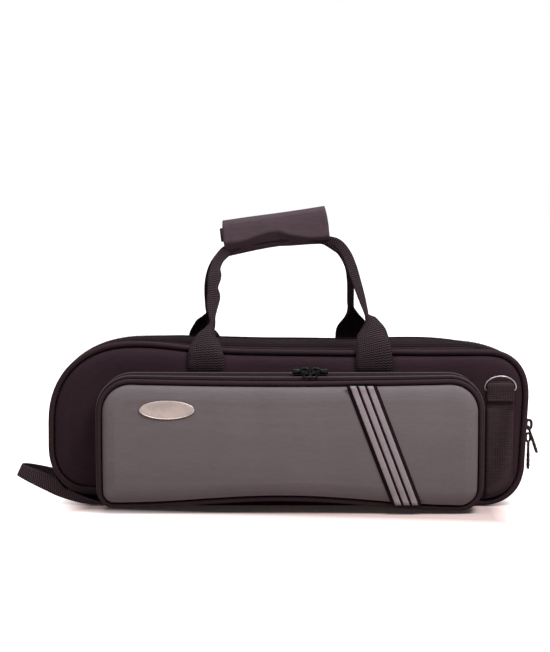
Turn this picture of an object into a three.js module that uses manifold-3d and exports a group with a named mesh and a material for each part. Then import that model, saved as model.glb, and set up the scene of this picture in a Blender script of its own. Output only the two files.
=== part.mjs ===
// Trumpet gig bag, in millimetres: +X to the right, +Y to the back, +Z up.
// The origin lies on the floor under the middle of the bag, in the plane of the main zip.
import * as THREE from "three";
import { mergeVertices } from "three/addons/utils/BufferGeometryUtils.js";
import Module from "manifold-3d";

const wasm = await Module();
wasm.setup();

// Fits shared by all pieces
const clearance = 0.3; // left between two pieces that touch
const overrun = 5; // how far a cutting solid runs past what it cuts
const mergeTolerance = 0.0001;
const fullTurn = 2 * Math.PI;
const quarterTurn = Math.PI / 2;
const cornerSteps = 7; // straight steps in a corner of an outline
const runSteps = 6; // straight steps in a sagging edge of an outline

// Body, seen from the front
const bodyLength = 540;
const bodyDepth = 150;
const bodyHeight = 183; // at the left shoulder, the highest place
const rightShoulderDrop = 5; // how much lower the right shoulder is
const topSag = 3.5; // how far the top dips in the middle
const topLeftCorner = { width: 94, height: 84 };
const topRightCorner = { width: 58, height: 52 };
const bottomRightCorner = { width: 52, height: 46 };
const bottomLeftCorner = { width: 110, height: 60 };

// Layers of the body's wall
const coverThickness = 1.5;
const gussetFoamThickness = 8.2;
const panelFoamThickness = 8.7;
const liningThickness = 2;
const pipingDiameter = 6.4;
const pipingSides = 6;

// Main zip and the fabric hinge under it
const zipHalfWidth = 15.7;
const coilHalfWidth = 3;
const coilRise = 2.2; // how far the coil stands above the cover
const hingeOverlap = 3; // how far the rear bottom reaches past the fold
const coilEndSteps = 4; // corner steps at each end of the zip that have no coil

// Trumpet bed
const bellRadius = 62;
const bellThroatRadius = 14;
const bellMouthX = 243;
const bellThroatX = 50;
const bellAxisZ = 88;
const bellSides = 24;
const bellFlareShares = [1, 0.62, 0.4, 0.24, 0.13, 0.05, 0];
const tubingWell = { left: -150, right: 72, bottom: 48, top: 138, depth: 32, corner: 20 };
const valveWell = { left: -45, right: 60, bottom: 20, top: 158, depth: 28, corner: 12 };
const leadpipeWell = { left: -243, right: -140, bottom: 98, top: 124, depth: 15, corner: 10 };
const wellCornerSteps = 3;
const mouthpieceHole = { radius: 13, depth: 48, z: 52, sides: 16 };
const mouthpieceXs = [-226, -190];

// Accessory pocket on the front
const pocketLeftGap = 56.3; // from the body's left end
const pocketRightGap = 53.1; // from its right end
const pocketBottom = 2.6;
const pocketTopDrop = 30; // from the body's height
const pocketDepth = 47;
const pocketBottomRise = 9; // how far its lower edge arches up in the middle
const pocketCorners = { topLeft: 40, topRight: 39, bottomRight: 27, bottomLeft: 20 };
const pocketCornerSteps = 5;
const pocketWall = 2;
const pocketZipOffset = 23; // from the body's front to the pocket's zip
const pocketZipHalfWidth = 4.7;
const pocketZipThickness = 1.3;
const pocketFoamThickness = 6;
const pocketPipingDiameter = 6.2;

// Badge and ribbon on the pocket
const badge = {
  fromLeft: 79.7, fromTop: 35, width: 61, height: 20.5, thickness: 2.5, sides: 28,
};
const ribbon = { topFromRight: 138.9, bottomFromRight: 85.4, width: 33.5, thickness: 0.8, edge: 7 };
const stripe = { width: 7.2, pitch: 9.3, thickness: 0.5, count: 3 };

// Handle webbing
const handleWebWidth = 40;
const handleFoldWidth = 17;
const webThickness = 2;
const foldThickness = 4.4;
const handleSpread = 188; // between the middles of a handle's two ends
const rearHandleSpread = 174;
const rearHandleShift = -8.5; // the rear handle sits this far to the left
const frontWebGap = 3; // from the pocket's top up to the front webs
const rearWebBottom = 9;
const webTopDrop = 7; // from the body's height
const strapStraight = 92; // straight stretch inside the grip
const strapDrop = 3; // how low a strap enters the grip's end
const strapEndSlack = 1.2; // how far it stands off the sleeve's wall there
const strapShoulder = { reach: 15, depth: 13, drop: 23 }; // where a leg turns towards the grip
const strapSamples = 2; // steps between two points of a strap's path

// Grip round both handles
const gripLength = 124;
const gripHeight = 41;
const gripDepth = 30;
const gripX = -15;
const gripRise = 123; // from the body's height up to the grip's middle
const gripTilt = THREE.MathUtils.degToRad(7); // its right end is the higher one
const gripWall = 3.5;
const gripCorner = 5;
const closureStrip = { length: 96, height: 14, thickness: 1.2, drop: 7 };

// Rings for the shoulder strap and their webs
const ringWebWidth = 31;
const ringLoop = { drop: 54, height: 9.5, slot: 4.2, tab: 9, wall: 1.6, steps: 6 };
const ring = {
  width: 38, height: 19.8, wire: 3, corner: 3, straight: 7, steps: 3, sides: 6, rest: 4.2,
};
const frontRingWeb = { endGap: 31, bottom: 10.5 };
const rearRingWeb = { endGap: 44, bottom: 34 };

// Sliders and pulls; the pivot is where the pull's bar lies, along the slider and below its bridge
const mainSlider = {
  width: 9, length: 13, plate: 2.2, bridgeWidth: 3.4, bridgeLength: 10,
  bridgeLeg: 1.5, bridgeGap: 6.5, bridgeTop: 1.5, pivot: -1.8, pivotDrop: 1.8,
};
const mainPull = {
  width: 8, length: 33, thickness: 1.8, slotWidth: 4.6, slotLength: 8, bar: 1.8, corner: 3,
};
const pocketSlider = {
  width: 7.5, length: 11, plate: 1.8, bridgeWidth: 2.8, bridgeLength: 8,
  bridgeLeg: 1.2, bridgeGap: 3.2, bridgeTop: 1.2, pivot: 1.2, pivotDrop: 1.6,
};
const pocketPull = {
  width: 7, length: 17, thickness: 1.6, slotWidth: 4, slotLength: 6.2, bar: 1.6, corner: 2.5,
};
const pullCornerSteps = 3;
const mainSliderZs = { upper: 86, lower: 66 };
const upperPullLean = THREE.MathUtils.degToRad(20);
const pocketSliderMeet = 24;
const sliderGap = 1;

// Webbing loop at the lower left end
const endLoop = {
  length: 65, width: 18, thickness: 2.2, halfSpread: 19, y: -36, bendSteps: 6, anchorThickness: 2,
};
const endLoopTilt = THREE.MathUtils.degToRad(11);
// The part of the lower left corner that its sewn end covers, in corner steps from the top
const anchorStartSteps = 3;
const anchorEndSteps = 5;
const endLoopPivotSteps = 3;

// Colours and finishes
const blackNylon = { color: 0x241d22, roughness: 0.85, metalness: 0 };
const blackWebbing = { color: 0x1f1a1d, roughness: 0.9, metalness: 0 };
const blackPiping = { color: 0x2c2426, roughness: 0.7, metalness: 0 };
const greyNylon = { color: 0x56525a, roughness: 0.8, metalness: 0 };
const foam = { color: 0x3a3a3c, roughness: 1, metalness: 0 };
const plush = { color: 0x191a1f, roughness: 1, metalness: 0 };
const zipNylon = { color: 0x17141a, roughness: 0.5, metalness: 0 };
const blackEnamel = { color: 0x101012, roughness: 0.3, metalness: 0.6 };
const nickel = { color: 0x9b9a98, roughness: 0.3, metalness: 1 };
const brushedPewter = { color: 0xb7b3ab, roughness: 0.4, metalness: 1 };
const silverThread = { color: 0x8f9096, roughness: 0.5, metalness: 0.2 };

// Values worked out from the sizes above
const halfLength = bodyLength / 2;
const halfDepth = bodyDepth / 2;
const rightShoulderHeight = bodyHeight - rightShoulderDrop;
const pipingRadius = pipingDiameter / 2;
const pocketPipingRadius = pocketPipingDiameter / 2;
const panelInset = pipingDiameter + clearance;
const gussetFoamInset = coverThickness + clearance;
const liningInset = gussetFoamInset + gussetFoamThickness + clearance;
const gussetFar = halfDepth - pipingDiameter - clearance;
const coverNear = halfDepth - coverThickness;
const panelFoamFar = coverNear - clearance;
const panelFoamNear = panelFoamFar - panelFoamThickness;
const liningFar = panelFoamNear - clearance;
const webFace = halfDepth + clearance;
const webTop = bodyHeight - webTopDrop;
const pocketLeft = pocketLeftGap - halfLength;
const pocketRight = halfLength - pocketRightGap;
const pocketTop = bodyHeight - pocketTopDrop;
const pocketFront = halfDepth + pocketDepth;
const pocketZip = halfDepth + pocketZipOffset;
const ringLoopBottom = bodyHeight - ringLoop.drop;
const frontRingX = halfLength - frontRingWeb.endGap;
const rearRingX = rearRingWeb.endGap - halfLength;
const gripZ = bodyHeight + gripRise;
const gripSeam = clearance / 2;
const sleeveInner = gripDepth / 2 - gripWall;

const gripQuaternion = new THREE.Quaternion().setFromAxisAngle(new THREE.Vector3(0, 1, 0), -gripTilt);

// General shape helpers

function meshNode(name, geometry, finish) {
  const mesh = new THREE.Mesh(geometry, new THREE.MeshStandardMaterial(finish));
  mesh.name = name;
  return mesh;
}

function toSolid(geometry) {
  const bare = geometry.clone();
  bare.deleteAttribute("normal");
  bare.deleteAttribute("uv");
  const merged = mergeVertices(bare, mergeTolerance);
  return new wasm.Manifold(
    new wasm.Mesh({
      numProp: 3,
      vertProperties: new Float32Array(merged.attributes.position.array),
      triVerts: new Uint32Array(merged.index.array),
    }),
  );
}

function toGeometry(solid) {
  const mesh = solid.getMesh();
  const geometry = new THREE.BufferGeometry();
  geometry.setAttribute("position", new THREE.BufferAttribute(mesh.vertProperties, 3));
  geometry.setIndex(new THREE.BufferAttribute(mesh.triVerts, 1));
  return geometry;
}

// A flat outline in X and Z, extruded from the plane y = near to the plane y = far
function slab(shape, near, far) {
  const geometry = new THREE.ExtrudeGeometry(shape, { depth: far - near, bevelEnabled: false });
  geometry.rotateX(quarterTurn);
  geometry.translate(0, far, 0);
  return geometry;
}

// The same between two distances from the zip plane, on the front (-1) or the rear (1) side
function sideSlab(shape, side, near, far) {
  return side > 0 ? slab(shape, near, far) : slab(shape, -far, -near);
}

function arcPoints(centreX, centreZ, width, height, startAngle, steps) {
  const points = [];
  for (let i = 0; i <= steps; i += 1) {
    const angle = startAngle + (quarterTurn * i) / steps;
    points.push(new THREE.Vector2(centreX + width * Math.cos(angle), centreZ + height * Math.sin(angle)));
  }
  return points;
}

// Points between two ends, bowed up or down by the given amount
function bowedRun(from, to, bow, steps) {
  const points = [];
  for (let i = 1; i < steps; i += 1) {
    const point = from.clone().lerp(to, i / steps);
    point.y += bow * Math.sin((Math.PI * i) / steps);
    points.push(point);
  }
  return points;
}

function edgeNormal(from, to) {
  return new THREE.Vector2(to.y - from.y, from.x - to.x).normalize();
}

// Outward direction at each point of a closed outline, long enough to keep a wall's thickness
function outwardDirections(outline) {
  const count = outline.length;
  return outline.map((point, i) => {
    const before = edgeNormal(outline[(i + count - 1) % count], point);
    const after = edgeNormal(point, outline[(i + 1) % count]);
    const middle = before.clone().add(after).normalize();
    return middle.divideScalar(middle.dot(after));
  });
}

function insetOutline(outline, inset) {
  const directions = outwardDirections(outline);
  return outline.map((point, i) => point.clone().addScaledVector(directions[i], -inset));
}

function plateShape(outline, inset) {
  return new THREE.Shape(insetOutline(outline, inset));
}

function ringShape(outline, outerInset, innerInset) {
  const shape = plateShape(outline, outerInset);
  shape.holes.push(new THREE.Path(insetOutline(outline, innerInset).reverse()));
  return shape;
}

// A strip along part of an outline, from one point's number to another's
function stripShape(outline, outerInset, innerInset, first, last) {
  const pick = (points) => {
    const picked = [];
    for (let i = first; i <= last; i += 1) {
      picked.push(points[i % points.length]);
    }
    return picked;
  };
  const outer = pick(insetOutline(outline, outerInset));
  const inner = pick(insetOutline(outline, innerInset)).reverse();
  return new THREE.Shape([...outer, ...inner]);
}

// A closed round tube through flat points, all in one plane with the given normal
function closedTube(points, planeNormal, radius, sides) {
  const count = points.length;
  const positions = [];
  points.forEach((point, i) => {
    const before = points[(i + count - 1) % count];
    const after = points[(i + 1) % count];
    const along = after.clone().sub(before).normalize();
    const outward = along.clone().cross(planeNormal);
    for (let j = 0; j < sides; j += 1) {
      const angle = (fullTurn * (j + 1 / 2)) / sides;
      const place = point.clone();
      place.addScaledVector(outward, radius * Math.cos(angle));
      place.addScaledVector(planeNormal, radius * Math.sin(angle));
      positions.push(place.x, place.y, place.z);
    }
  });
  const index = [];
  for (let i = 0; i < count; i += 1) {
    const next = (i + 1) % count;
    for (let j = 0; j < sides; j += 1) {
      const beside = (j + 1) % sides;
      index.push(i * sides + j, next * sides + j, next * sides + beside);
      index.push(i * sides + j, next * sides + beside, i * sides + beside);
    }
  }
  return indexedGeometry(positions, index);
}

function indexedGeometry(positions, index) {
  const geometry = new THREE.BufferGeometry();
  geometry.setAttribute("position", new THREE.Float32BufferAttribute(positions, 3));
  geometry.setIndex(index);
  return geometry;
}

// A flat strap lofted through stations, each with a place, a width vector and a thickness vector
function loftStrap(stations) {
  const positions = [];
  const corners = [[1, 1], [-1, 1], [-1, -1], [1, -1]];
  stations.forEach(({ place, across, through }) => {
    corners.forEach(([a, b]) => {
      const corner = place.clone().addScaledVector(across, a / 2).addScaledVector(through, b / 2);
      positions.push(corner.x, corner.y, corner.z);
    });
  });
  const index = [];
  const sides = corners.length;
  const end = (stations.length - 1) * sides;
  for (let j = 1; j + 1 < sides; j += 1) {
    index.push(0, j + 1, j);
    index.push(end, end + j, end + j + 1);
  }
  for (let i = 0; i + 1 < stations.length; i += 1) {
    for (let j = 0; j < sides; j += 1) {
      const beside = (j + 1) % sides;
      const a = i * sides + j;
      const b = i * sides + beside;
      index.push(a, b, b + sides, a, b + sides, a + sides);
    }
  }
  return indexedGeometry(positions, index);
}

// A rectangle with rounded corners, in the plane of a shape
function roundedRectangle(left, right, bottom, top, corner, steps) {
  return new THREE.Shape([
    ...arcPoints(right - corner, bottom + corner, corner, corner, -quarterTurn, steps),
    ...arcPoints(right - corner, top - corner, corner, corner, 0, steps),
    ...arcPoints(left + corner, top - corner, corner, corner, quarterTurn, steps),
    ...arcPoints(left + corner, bottom + corner, corner, corner, Math.PI, steps),
  ]);
}

// Outlines of the body and the pocket

// Point 0 starts the flat bottom and point 1 ends it; the rest runs up the right end,
// over the top and down the left end, up to point 0 again
function bodyOutlinePoints() {
  const lowRight = bottomRightCorner;
  const highRight = topRightCorner;
  const highLeft = topLeftCorner;
  const lowLeft = bottomLeftCorner;
  const right = arcPoints(
    halfLength - highRight.width, rightShoulderHeight - highRight.height,
    highRight.width, highRight.height, 0, cornerSteps,
  );
  const left = arcPoints(
    highLeft.width - halfLength, bodyHeight - highLeft.height,
    highLeft.width, highLeft.height, quarterTurn, cornerSteps,
  );
  return [
    new THREE.Vector2(lowLeft.width - halfLength, 0),
    ...arcPoints(
      halfLength - lowRight.width, lowRight.height, lowRight.width, lowRight.height,
      -quarterTurn, cornerSteps,
    ),
    ...right,
    ...bowedRun(right[right.length - 1], left[0], -topSag, runSteps),
    ...left,
    ...arcPoints(
      lowLeft.width - halfLength, lowLeft.height, lowLeft.width, lowLeft.height,
      Math.PI, cornerSteps,
    ).slice(0, -1),
  ];
}

// Point 0 ends the arched bottom; the rest runs up the right side, over the top and down the left
function pocketOutlinePoints() {
  const { topLeft, topRight, bottomRight, bottomLeft } = pocketCorners;
  const rightFoot = arcPoints(
    pocketRight - bottomRight, pocketBottom + bottomRight, bottomRight, bottomRight,
    -quarterTurn, pocketCornerSteps,
  );
  const leftFoot = arcPoints(
    pocketLeft + bottomLeft, pocketBottom + bottomLeft, bottomLeft, bottomLeft,
    Math.PI, pocketCornerSteps,
  );
  return [
    ...rightFoot,
    ...arcPoints(
      pocketRight - topRight, pocketTop - topRight, topRight, topRight, 0, pocketCornerSteps,
    ),
    ...arcPoints(
      pocketLeft + topLeft, pocketTop - topLeft, topLeft, topLeft, quarterTurn, pocketCornerSteps,
    ),
    ...leftFoot,
    ...bowedRun(leftFoot[leftFoot.length - 1], rightFoot[0], pocketBottomRise, runSteps),
  ];
}

const bodyOutline = bodyOutlinePoints();
const pocketOutline = pocketOutlinePoints();
const bodyPointCount = bodyOutline.length;
const pocketSideCount = 4 * (pocketCornerSteps + 1);

// The two halves of the body

function gussetCover(side) {
  return sideSlab(
    stripShape(bodyOutline, 0, coverThickness, 1, bodyPointCount),
    side, zipHalfWidth + clearance, gussetFar,
  );
}

function gussetFoam(side) {
  const near = side > 0 ? clearance : hingeOverlap + clearance;
  const shape = ringShape(bodyOutline, gussetFoamInset, gussetFoamInset + gussetFoamThickness);
  return sideSlab(shape, side, near, gussetFar);
}

// The flat bottom; the rear one reaches under the fold of the hinge
function bottomCover(side) {
  const [start, end] = bodyOutline;
  const shape = roundedRectangle(
    start.x + clearance, end.x - clearance, 0, coverThickness, coverThickness / 4, 1,
  );
  if (side > 0) {
    return slab(shape, -hingeOverlap, gussetFar);
  }
  return slab(shape, -gussetFar, -hingeOverlap - clearance);
}

function panelCover(side) {
  return sideSlab(plateShape(bodyOutline, panelInset), side, coverNear, halfDepth);
}

function panelFoam(side) {
  return sideSlab(plateShape(bodyOutline, liningInset), side, panelFoamNear, panelFoamFar);
}

function outlinePiping(outline, radius, y) {
  const points = insetOutline(outline, radius).map((point) => new THREE.Vector3(point.x, y, point.y));
  return closedTube(points, new THREE.Vector3(0, 1, 0), radius, pipingSides);
}

function zipTape(side) {
  return sideSlab(
    stripShape(bodyOutline, 0, coverThickness, 1, bodyPointCount),
    side, coilHalfWidth + clearance, zipHalfWidth,
  );
}

function zipCoil(side) {
  return sideSlab(
    stripShape(
      bodyOutline, -coilRise, coverThickness,
      1 + coilEndSteps, bodyPointCount - coilEndSteps,
    ),
    side, clearance, coilHalfWidth,
  );
}

function frontLining() {
  const tray = toSolid(sideSlab(plateShape(bodyOutline, liningInset), -1, clearance, liningFar));
  const hollow = toSolid(
    sideSlab(
      plateShape(bodyOutline, liningInset + liningThickness),
      -1, -overrun, liningFar - liningThickness,
    ),
  );
  return toGeometry(tray.subtract(hollow));
}

function wellSolid({ left, right, bottom, top, depth, corner }) {
  const shape = roundedRectangle(left, right, bottom, top, corner, wellCornerSteps);
  return toSolid(slab(shape, -overrun, depth));
}

// The hollow for the bell: a flared cone that lies along X
function bellSolid() {
  const last = bellFlareShares.length - 1;
  const profile = bellFlareShares.map((share, i) => new THREE.Vector2(
    bellThroatRadius + (bellRadius - bellThroatRadius) * share,
    bellMouthX + ((bellThroatX - bellMouthX) * i) / last,
  ));
  const geometry = new THREE.LatheGeometry(
    [new THREE.Vector2(0, bellMouthX), ...profile, new THREE.Vector2(0, bellThroatX)].reverse(),
    bellSides,
  );
  geometry.rotateZ(-quarterTurn);
  geometry.rotateX(fullTurn / bellSides / 2);
  geometry.translate(0, 0, bellAxisZ);
  return toSolid(geometry);
}

function mouthpieceSolid(x) {
  const { radius, depth, z, sides } = mouthpieceHole;
  const geometry = new THREE.CylinderGeometry(radius, radius, depth + overrun, sides);
  geometry.translate(x, (depth - overrun) / 2, z);
  return toSolid(geometry);
}

function trumpetBed() {
  let block = toSolid(sideSlab(plateShape(bodyOutline, liningInset), 1, clearance, liningFar));
  [tubingWell, valveWell, leadpipeWell].forEach((well) => {
    block = block.subtract(wellSolid(well));
  });
  block = block.subtract(bellSolid());
  mouthpieceXs.forEach((x) => {
    block = block.subtract(mouthpieceSolid(x));
  });
  return toGeometry(block);
}

// Webs sewn to the panels

function flatWeb(x, side, bottom) {
  const shape = roundedRectangle(
    x - handleWebWidth / 2, x + handleWebWidth / 2, bottom, webTop, webThickness, 1,
  );
  return sideSlab(shape, side, webFace, webFace + webThickness);
}

// A web with a loop folded at its top that holds a ring's bar; drawn in Y and Z for the front
function ringWeb(x, side, bottom) {
  const { height, slot, tab, wall, steps } = ringLoop;
  const back = webFace;
  const front = back + 2 * wall + slot;
  const tabFront = back + webThickness + wall;
  const top = ringLoopBottom + height + wall;
  const outerRadius = (front - back) / 2;
  const innerRadius = slot / 2;
  const middle = back + wall + innerRadius;
  const outline = [
    new THREE.Vector2(back, bottom),
    new THREE.Vector2(back + webThickness, bottom),
    new THREE.Vector2(back + webThickness, ringLoopBottom - wall - tab - clearance),
    new THREE.Vector2(tabFront, ringLoopBottom - wall - tab),
    new THREE.Vector2(tabFront, ringLoopBottom - wall - slot / 2),
    new THREE.Vector2(front, ringLoopBottom),
    ...arcPoints(middle, top - outerRadius, outerRadius, outerRadius, 0, steps),
    ...arcPoints(middle, top - outerRadius, outerRadius, outerRadius, quarterTurn, steps).slice(1),
  ];
  const slotTop = top - outerRadius;
  const hole = [
    ...arcPoints(middle, ringLoopBottom + innerRadius, innerRadius, innerRadius, Math.PI, steps),
    ...arcPoints(
      middle, ringLoopBottom + innerRadius, innerRadius, innerRadius, -quarterTurn, steps,
    ).slice(1),
    ...arcPoints(middle, slotTop, innerRadius, innerRadius, 0, steps),
    ...arcPoints(middle, slotTop, innerRadius, innerRadius, quarterTurn, steps).slice(1),
  ];
  const shape = new THREE.Shape(outline);
  shape.holes.push(new THREE.Path(hole.reverse()));
  const geometry = new THREE.ExtrudeGeometry(shape, { depth: ringWebWidth, bevelEnabled: false });
  geometry.translate(0, 0, -ringWebWidth / 2);
  geometry.rotateX(quarterTurn);
  geometry.rotateZ(side < 0 ? -quarterTurn : quarterTurn);
  geometry.translate(x, 0, 0);
  return geometry;
}

// Where a ring's bar lies in its web's loop, as a distance from the zip plane
const ringBarDistance = webFace + ringLoop.wall + ringLoop.slot / 2;
const ringBarZ = ringLoopBottom + ring.rest;

// A D-shaped ring that stands on its bar
function ringGeometry(x, side) {
  const { width, height, wire, corner, straight, steps, sides } = ring;
  const half = (width - wire) / 2;
  const rise = height - wire;
  const flat = [
    ...arcPoints(half - corner, corner, corner, corner, -quarterTurn, steps),
    ...arcPoints(0, straight, half, rise - straight, 0, 2 * steps).slice(0, -1),
    ...arcPoints(0, straight, half, rise - straight, quarterTurn, 2 * steps),
    ...arcPoints(corner - half, corner, corner, corner, Math.PI, steps),
  ];
  const y = side * ringBarDistance;
  const points = flat.map((point) => new THREE.Vector3(x + point.x, y, ringBarZ + point.y));
  return closedTube(points, new THREE.Vector3(0, 1, 0), wire / 2, sides);
}

// Pocket

function pocketRing(near, far) {
  return sideSlab(ringShape(pocketOutline, 0, pocketWall), -1, near, far);
}

function pocketZipStrip(near, far) {
  const shape = stripShape(
    pocketOutline, -clearance - pocketZipThickness, -clearance,
    pocketCornerSteps - 1, pocketSideCount - pocketCornerSteps,
  );
  return sideSlab(shape, -1, near, far);
}

function badgeGeometry() {
  const { fromLeft, fromTop, width, height, thickness, sides } = badge;
  const curve = new THREE.EllipseCurve(
    pocketLeft + fromLeft, pocketTop - fromTop, width / 2, height / 2, 0, fullTurn,
  );
  const shape = new THREE.Shape(curve.getPoints(sides).slice(0, -1));
  return sideSlab(shape, -1, pocketFront + clearance, pocketFront + clearance + thickness);
}

// A slanted band on the pocket, at an offset from the ribbon's middle line
function slantedBand(offset, width, near, far) {
  const top = pocketTop - ribbon.edge;
  const bottom = pocketBottom + ribbon.edge;
  const topX = pocketRight - ribbon.topFromRight + offset;
  const bottomX = pocketRight - ribbon.bottomFromRight + offset;
  const shape = new THREE.Shape([
    new THREE.Vector2(bottomX - width / 2, bottom),
    new THREE.Vector2(bottomX + width / 2, bottom),
    new THREE.Vector2(topX + width / 2, top),
    new THREE.Vector2(topX - width / 2, top),
  ]);
  return sideSlab(shape, -1, near, far);
}

function ribbonGeometry() {
  const near = pocketFront + clearance;
  return slantedBand(0, ribbon.width, near, near + ribbon.thickness);
}

function stripeGeometry(number) {
  const near = pocketFront + clearance + ribbon.thickness + clearance;
  const offset = (number - (stripe.count - 1) / 2) * stripe.pitch;
  return slantedBand(offset, stripe.width, near, near + stripe.thickness);
}

// Handles

// Places along a leg, as shares of the way from the sewn web to the shoulder beside the grip
const legRiseShares = [0, 0.06, 0.3, 0.55, 0.78, 1];
const legReachShares = [0, 0, 0.15, 0.42, 0.7, 1];
const legLeanShares = [0, 0, 0.17, 0.4, 0.66, 1];
// Places along the straight stretch inside the grip
const strapStraightShares = [-1, -0.8, 0, 0.8, 1];
// How far the webbing has folded from flat to double
const legFoldShares = [0, 0, 1, 1, 1, 1];

function gripPoint(x, y, z) {
  return new THREE.Vector3(x, y, z).applyQuaternion(gripQuaternion).add(new THREE.Vector3(gripX, 0, gripZ));
}

// Distance from the seam to the middle of a strap inside the grip; the rear strap lies on the
// sleeve's wall, the front one behind the two closure strips
function strapDepth(side) {
  const behindStrips = side < 0 ? 2 * (closureStrip.thickness + clearance) : 0;
  return sleeveInner - behindStrips - clearance - foldThickness / 2;
}

// Control stations of one leg, from the sewn web up to the shoulder beside the grip
function legStations(side, spread, shift, end) {
  const base = new THREE.Vector3(
    shift + (end * spread) / 2,
    side * (webFace + webThickness / 2),
    webTop + clearance,
  );
  const { reach, depth, drop } = strapShoulder;
  const goal = gripPoint(end * (gripLength / 2 + reach), side * depth, -drop);
  return legRiseShares.map((rise, i) => ({
    place: new THREE.Vector3(
      THREE.MathUtils.lerp(base.x, goal.x, legReachShares[i]),
      THREE.MathUtils.lerp(base.y, goal.y, legLeanShares[i]),
      THREE.MathUtils.lerp(base.z, goal.z, rise),
    ),
    width: THREE.MathUtils.lerp(handleWebWidth, handleFoldWidth, legFoldShares[i]),
    thickness: THREE.MathUtils.lerp(webThickness, foldThickness, legFoldShares[i]),
  }));
}

// Control stations inside the grip, from its left end to its right end
function gripStations(side) {
  const depth = strapDepth(side);
  const endDepth = depth - strapEndSlack;
  const inside = strapStraightShares.map((share) => (
    gripPoint((share * strapStraight) / 2, side * depth, 0)
  ));
  const places = [
    gripPoint(-gripLength / 2, side * endDepth, -strapDrop),
    ...inside,
    gripPoint(gripLength / 2, side * endDepth, -strapDrop),
  ];
  return places.map((place) => ({ place, width: handleFoldWidth, thickness: foldThickness }));
}

// A value part of the way along a list, in even steps from one member to the next
function alongList(values, share) {
  const place = share * (values.length - 1);
  const before = Math.floor(place);
  return THREE.MathUtils.lerp(values[before], values[Math.ceil(place)], place - before);
}

function handleStrap(side, spread, shift) {
  const controls = [
    ...legStations(side, spread, shift, -1),
    ...gripStations(side),
    ...legStations(side, spread, shift, 1).reverse(),
  ];
  const path = new THREE.CatmullRomCurve3(controls.map(({ place }) => place), false, "centripetal");
  const widths = controls.map(({ width }) => width);
  const thicknesses = controls.map(({ thickness }) => thickness);
  const count = (controls.length - 1) * strapSamples;
  const stations = [];
  for (let i = 0; i <= count; i += 1) {
    const share = i / count;
    const along = path.getTangent(share);
    const back = new THREE.Vector3(0, 1, 0);
    const across = back.clone().cross(along).normalize();
    const through = along.clone().cross(across).normalize();
    stations.push({
      place: path.getPoint(share),
      across: across.multiplyScalar(alongList(widths, share)),
      through: through.multiplyScalar(alongList(thicknesses, share)),
    });
  }
  return loftStrap(stations);
}

// Half of the padded sleeve, a channel open towards the seam in the zip plane
function gripSleeve(side) {
  const far = gripDepth / 2;
  const half = gripHeight / 2;
  const shape = new THREE.Shape([
    new THREE.Vector2(gripSeam, -half),
    ...arcPoints(far - gripCorner, gripCorner - half, gripCorner, gripCorner, -quarterTurn, wellCornerSteps),
    ...arcPoints(far - gripCorner, half - gripCorner, gripCorner, gripCorner, 0, wellCornerSteps),
    new THREE.Vector2(gripSeam, half),
    new THREE.Vector2(gripSeam, half - gripWall),
    new THREE.Vector2(far - gripWall, half - gripWall),
    new THREE.Vector2(far - gripWall, gripWall - half),
    new THREE.Vector2(gripSeam, gripWall - half),
  ]);
  const geometry = new THREE.ExtrudeGeometry(shape, { depth: gripLength, bevelEnabled: false });
  geometry.translate(0, 0, -gripLength / 2);
  geometry.rotateX(quarterTurn);
  geometry.rotateZ(side < 0 ? -quarterTurn : quarterTurn);
  return geometry;
}

function stripPlate(y) {
  const { length, height, thickness, drop } = closureStrip;
  const geometry = new THREE.BoxGeometry(length, thickness, height);
  geometry.translate(0, y, height / 2 - drop - height / 2);
  return geometry;
}

function inGripFrame(mesh) {
  mesh.quaternion.copy(gripQuaternion);
  mesh.position.set(gripX, 0, gripZ);
  return mesh;
}

// Sliders and pulls, drawn with X across the zip, Y along it and Z outwards

function sliderGeometry(size) {
  const { width, length, plate, bridgeWidth, bridgeLength, bridgeLeg, bridgeGap, bridgeTop } = size;
  const outline = roundedRectangle(
    -width / 2, width / 2, -length / 2, length / 2, width / 4, pullCornerSteps,
  );
  const base = new THREE.ExtrudeGeometry(outline, { depth: plate, bevelEnabled: false });
  const high = plate + bridgeGap + bridgeTop;
  const half = bridgeLength / 2;
  const arch = new THREE.Shape([
    new THREE.Vector2(-half, 0),
    new THREE.Vector2(half, 0),
    new THREE.Vector2(half, high - bridgeTop),
    new THREE.Vector2(half - bridgeTop, high),
    new THREE.Vector2(bridgeTop - half, high),
    new THREE.Vector2(-half, high - bridgeTop),
  ]);
  arch.holes.push(new THREE.Path([
    new THREE.Vector2(bridgeLeg - half, plate),
    new THREE.Vector2(bridgeLeg - half, plate + bridgeGap),
    new THREE.Vector2(half - bridgeLeg, plate + bridgeGap),
    new THREE.Vector2(half - bridgeLeg, plate),
  ]));
  const bridge = new THREE.ExtrudeGeometry(arch, { depth: bridgeWidth, bevelEnabled: false });
  bridge.translate(0, 0, -bridgeWidth / 2);
  bridge.rotateX(quarterTurn);
  bridge.rotateZ(quarterTurn);
  return toGeometry(toSolid(base).add(toSolid(bridge)));
}

// The pull hangs towards -Y from its bar, which lies in the bridge's gap
function pullGeometry({ width, length, thickness, slotWidth, slotLength, bar, corner }) {
  const top = bar / 2;
  const shape = roundedRectangle(-width / 2, width / 2, top - length, top, corner, pullCornerSteps);
  const slot = roundedRectangle(
    -slotWidth / 2, slotWidth / 2, -top - slotLength, -top, bar / 4, 1,
  );
  shape.holes.push(new THREE.Path(slot.getPoints().reverse()));
  const geometry = new THREE.ExtrudeGeometry(shape, { depth: thickness, bevelEnabled: false });
  geometry.translate(0, 0, -thickness / 2);
  return geometry;
}

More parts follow.
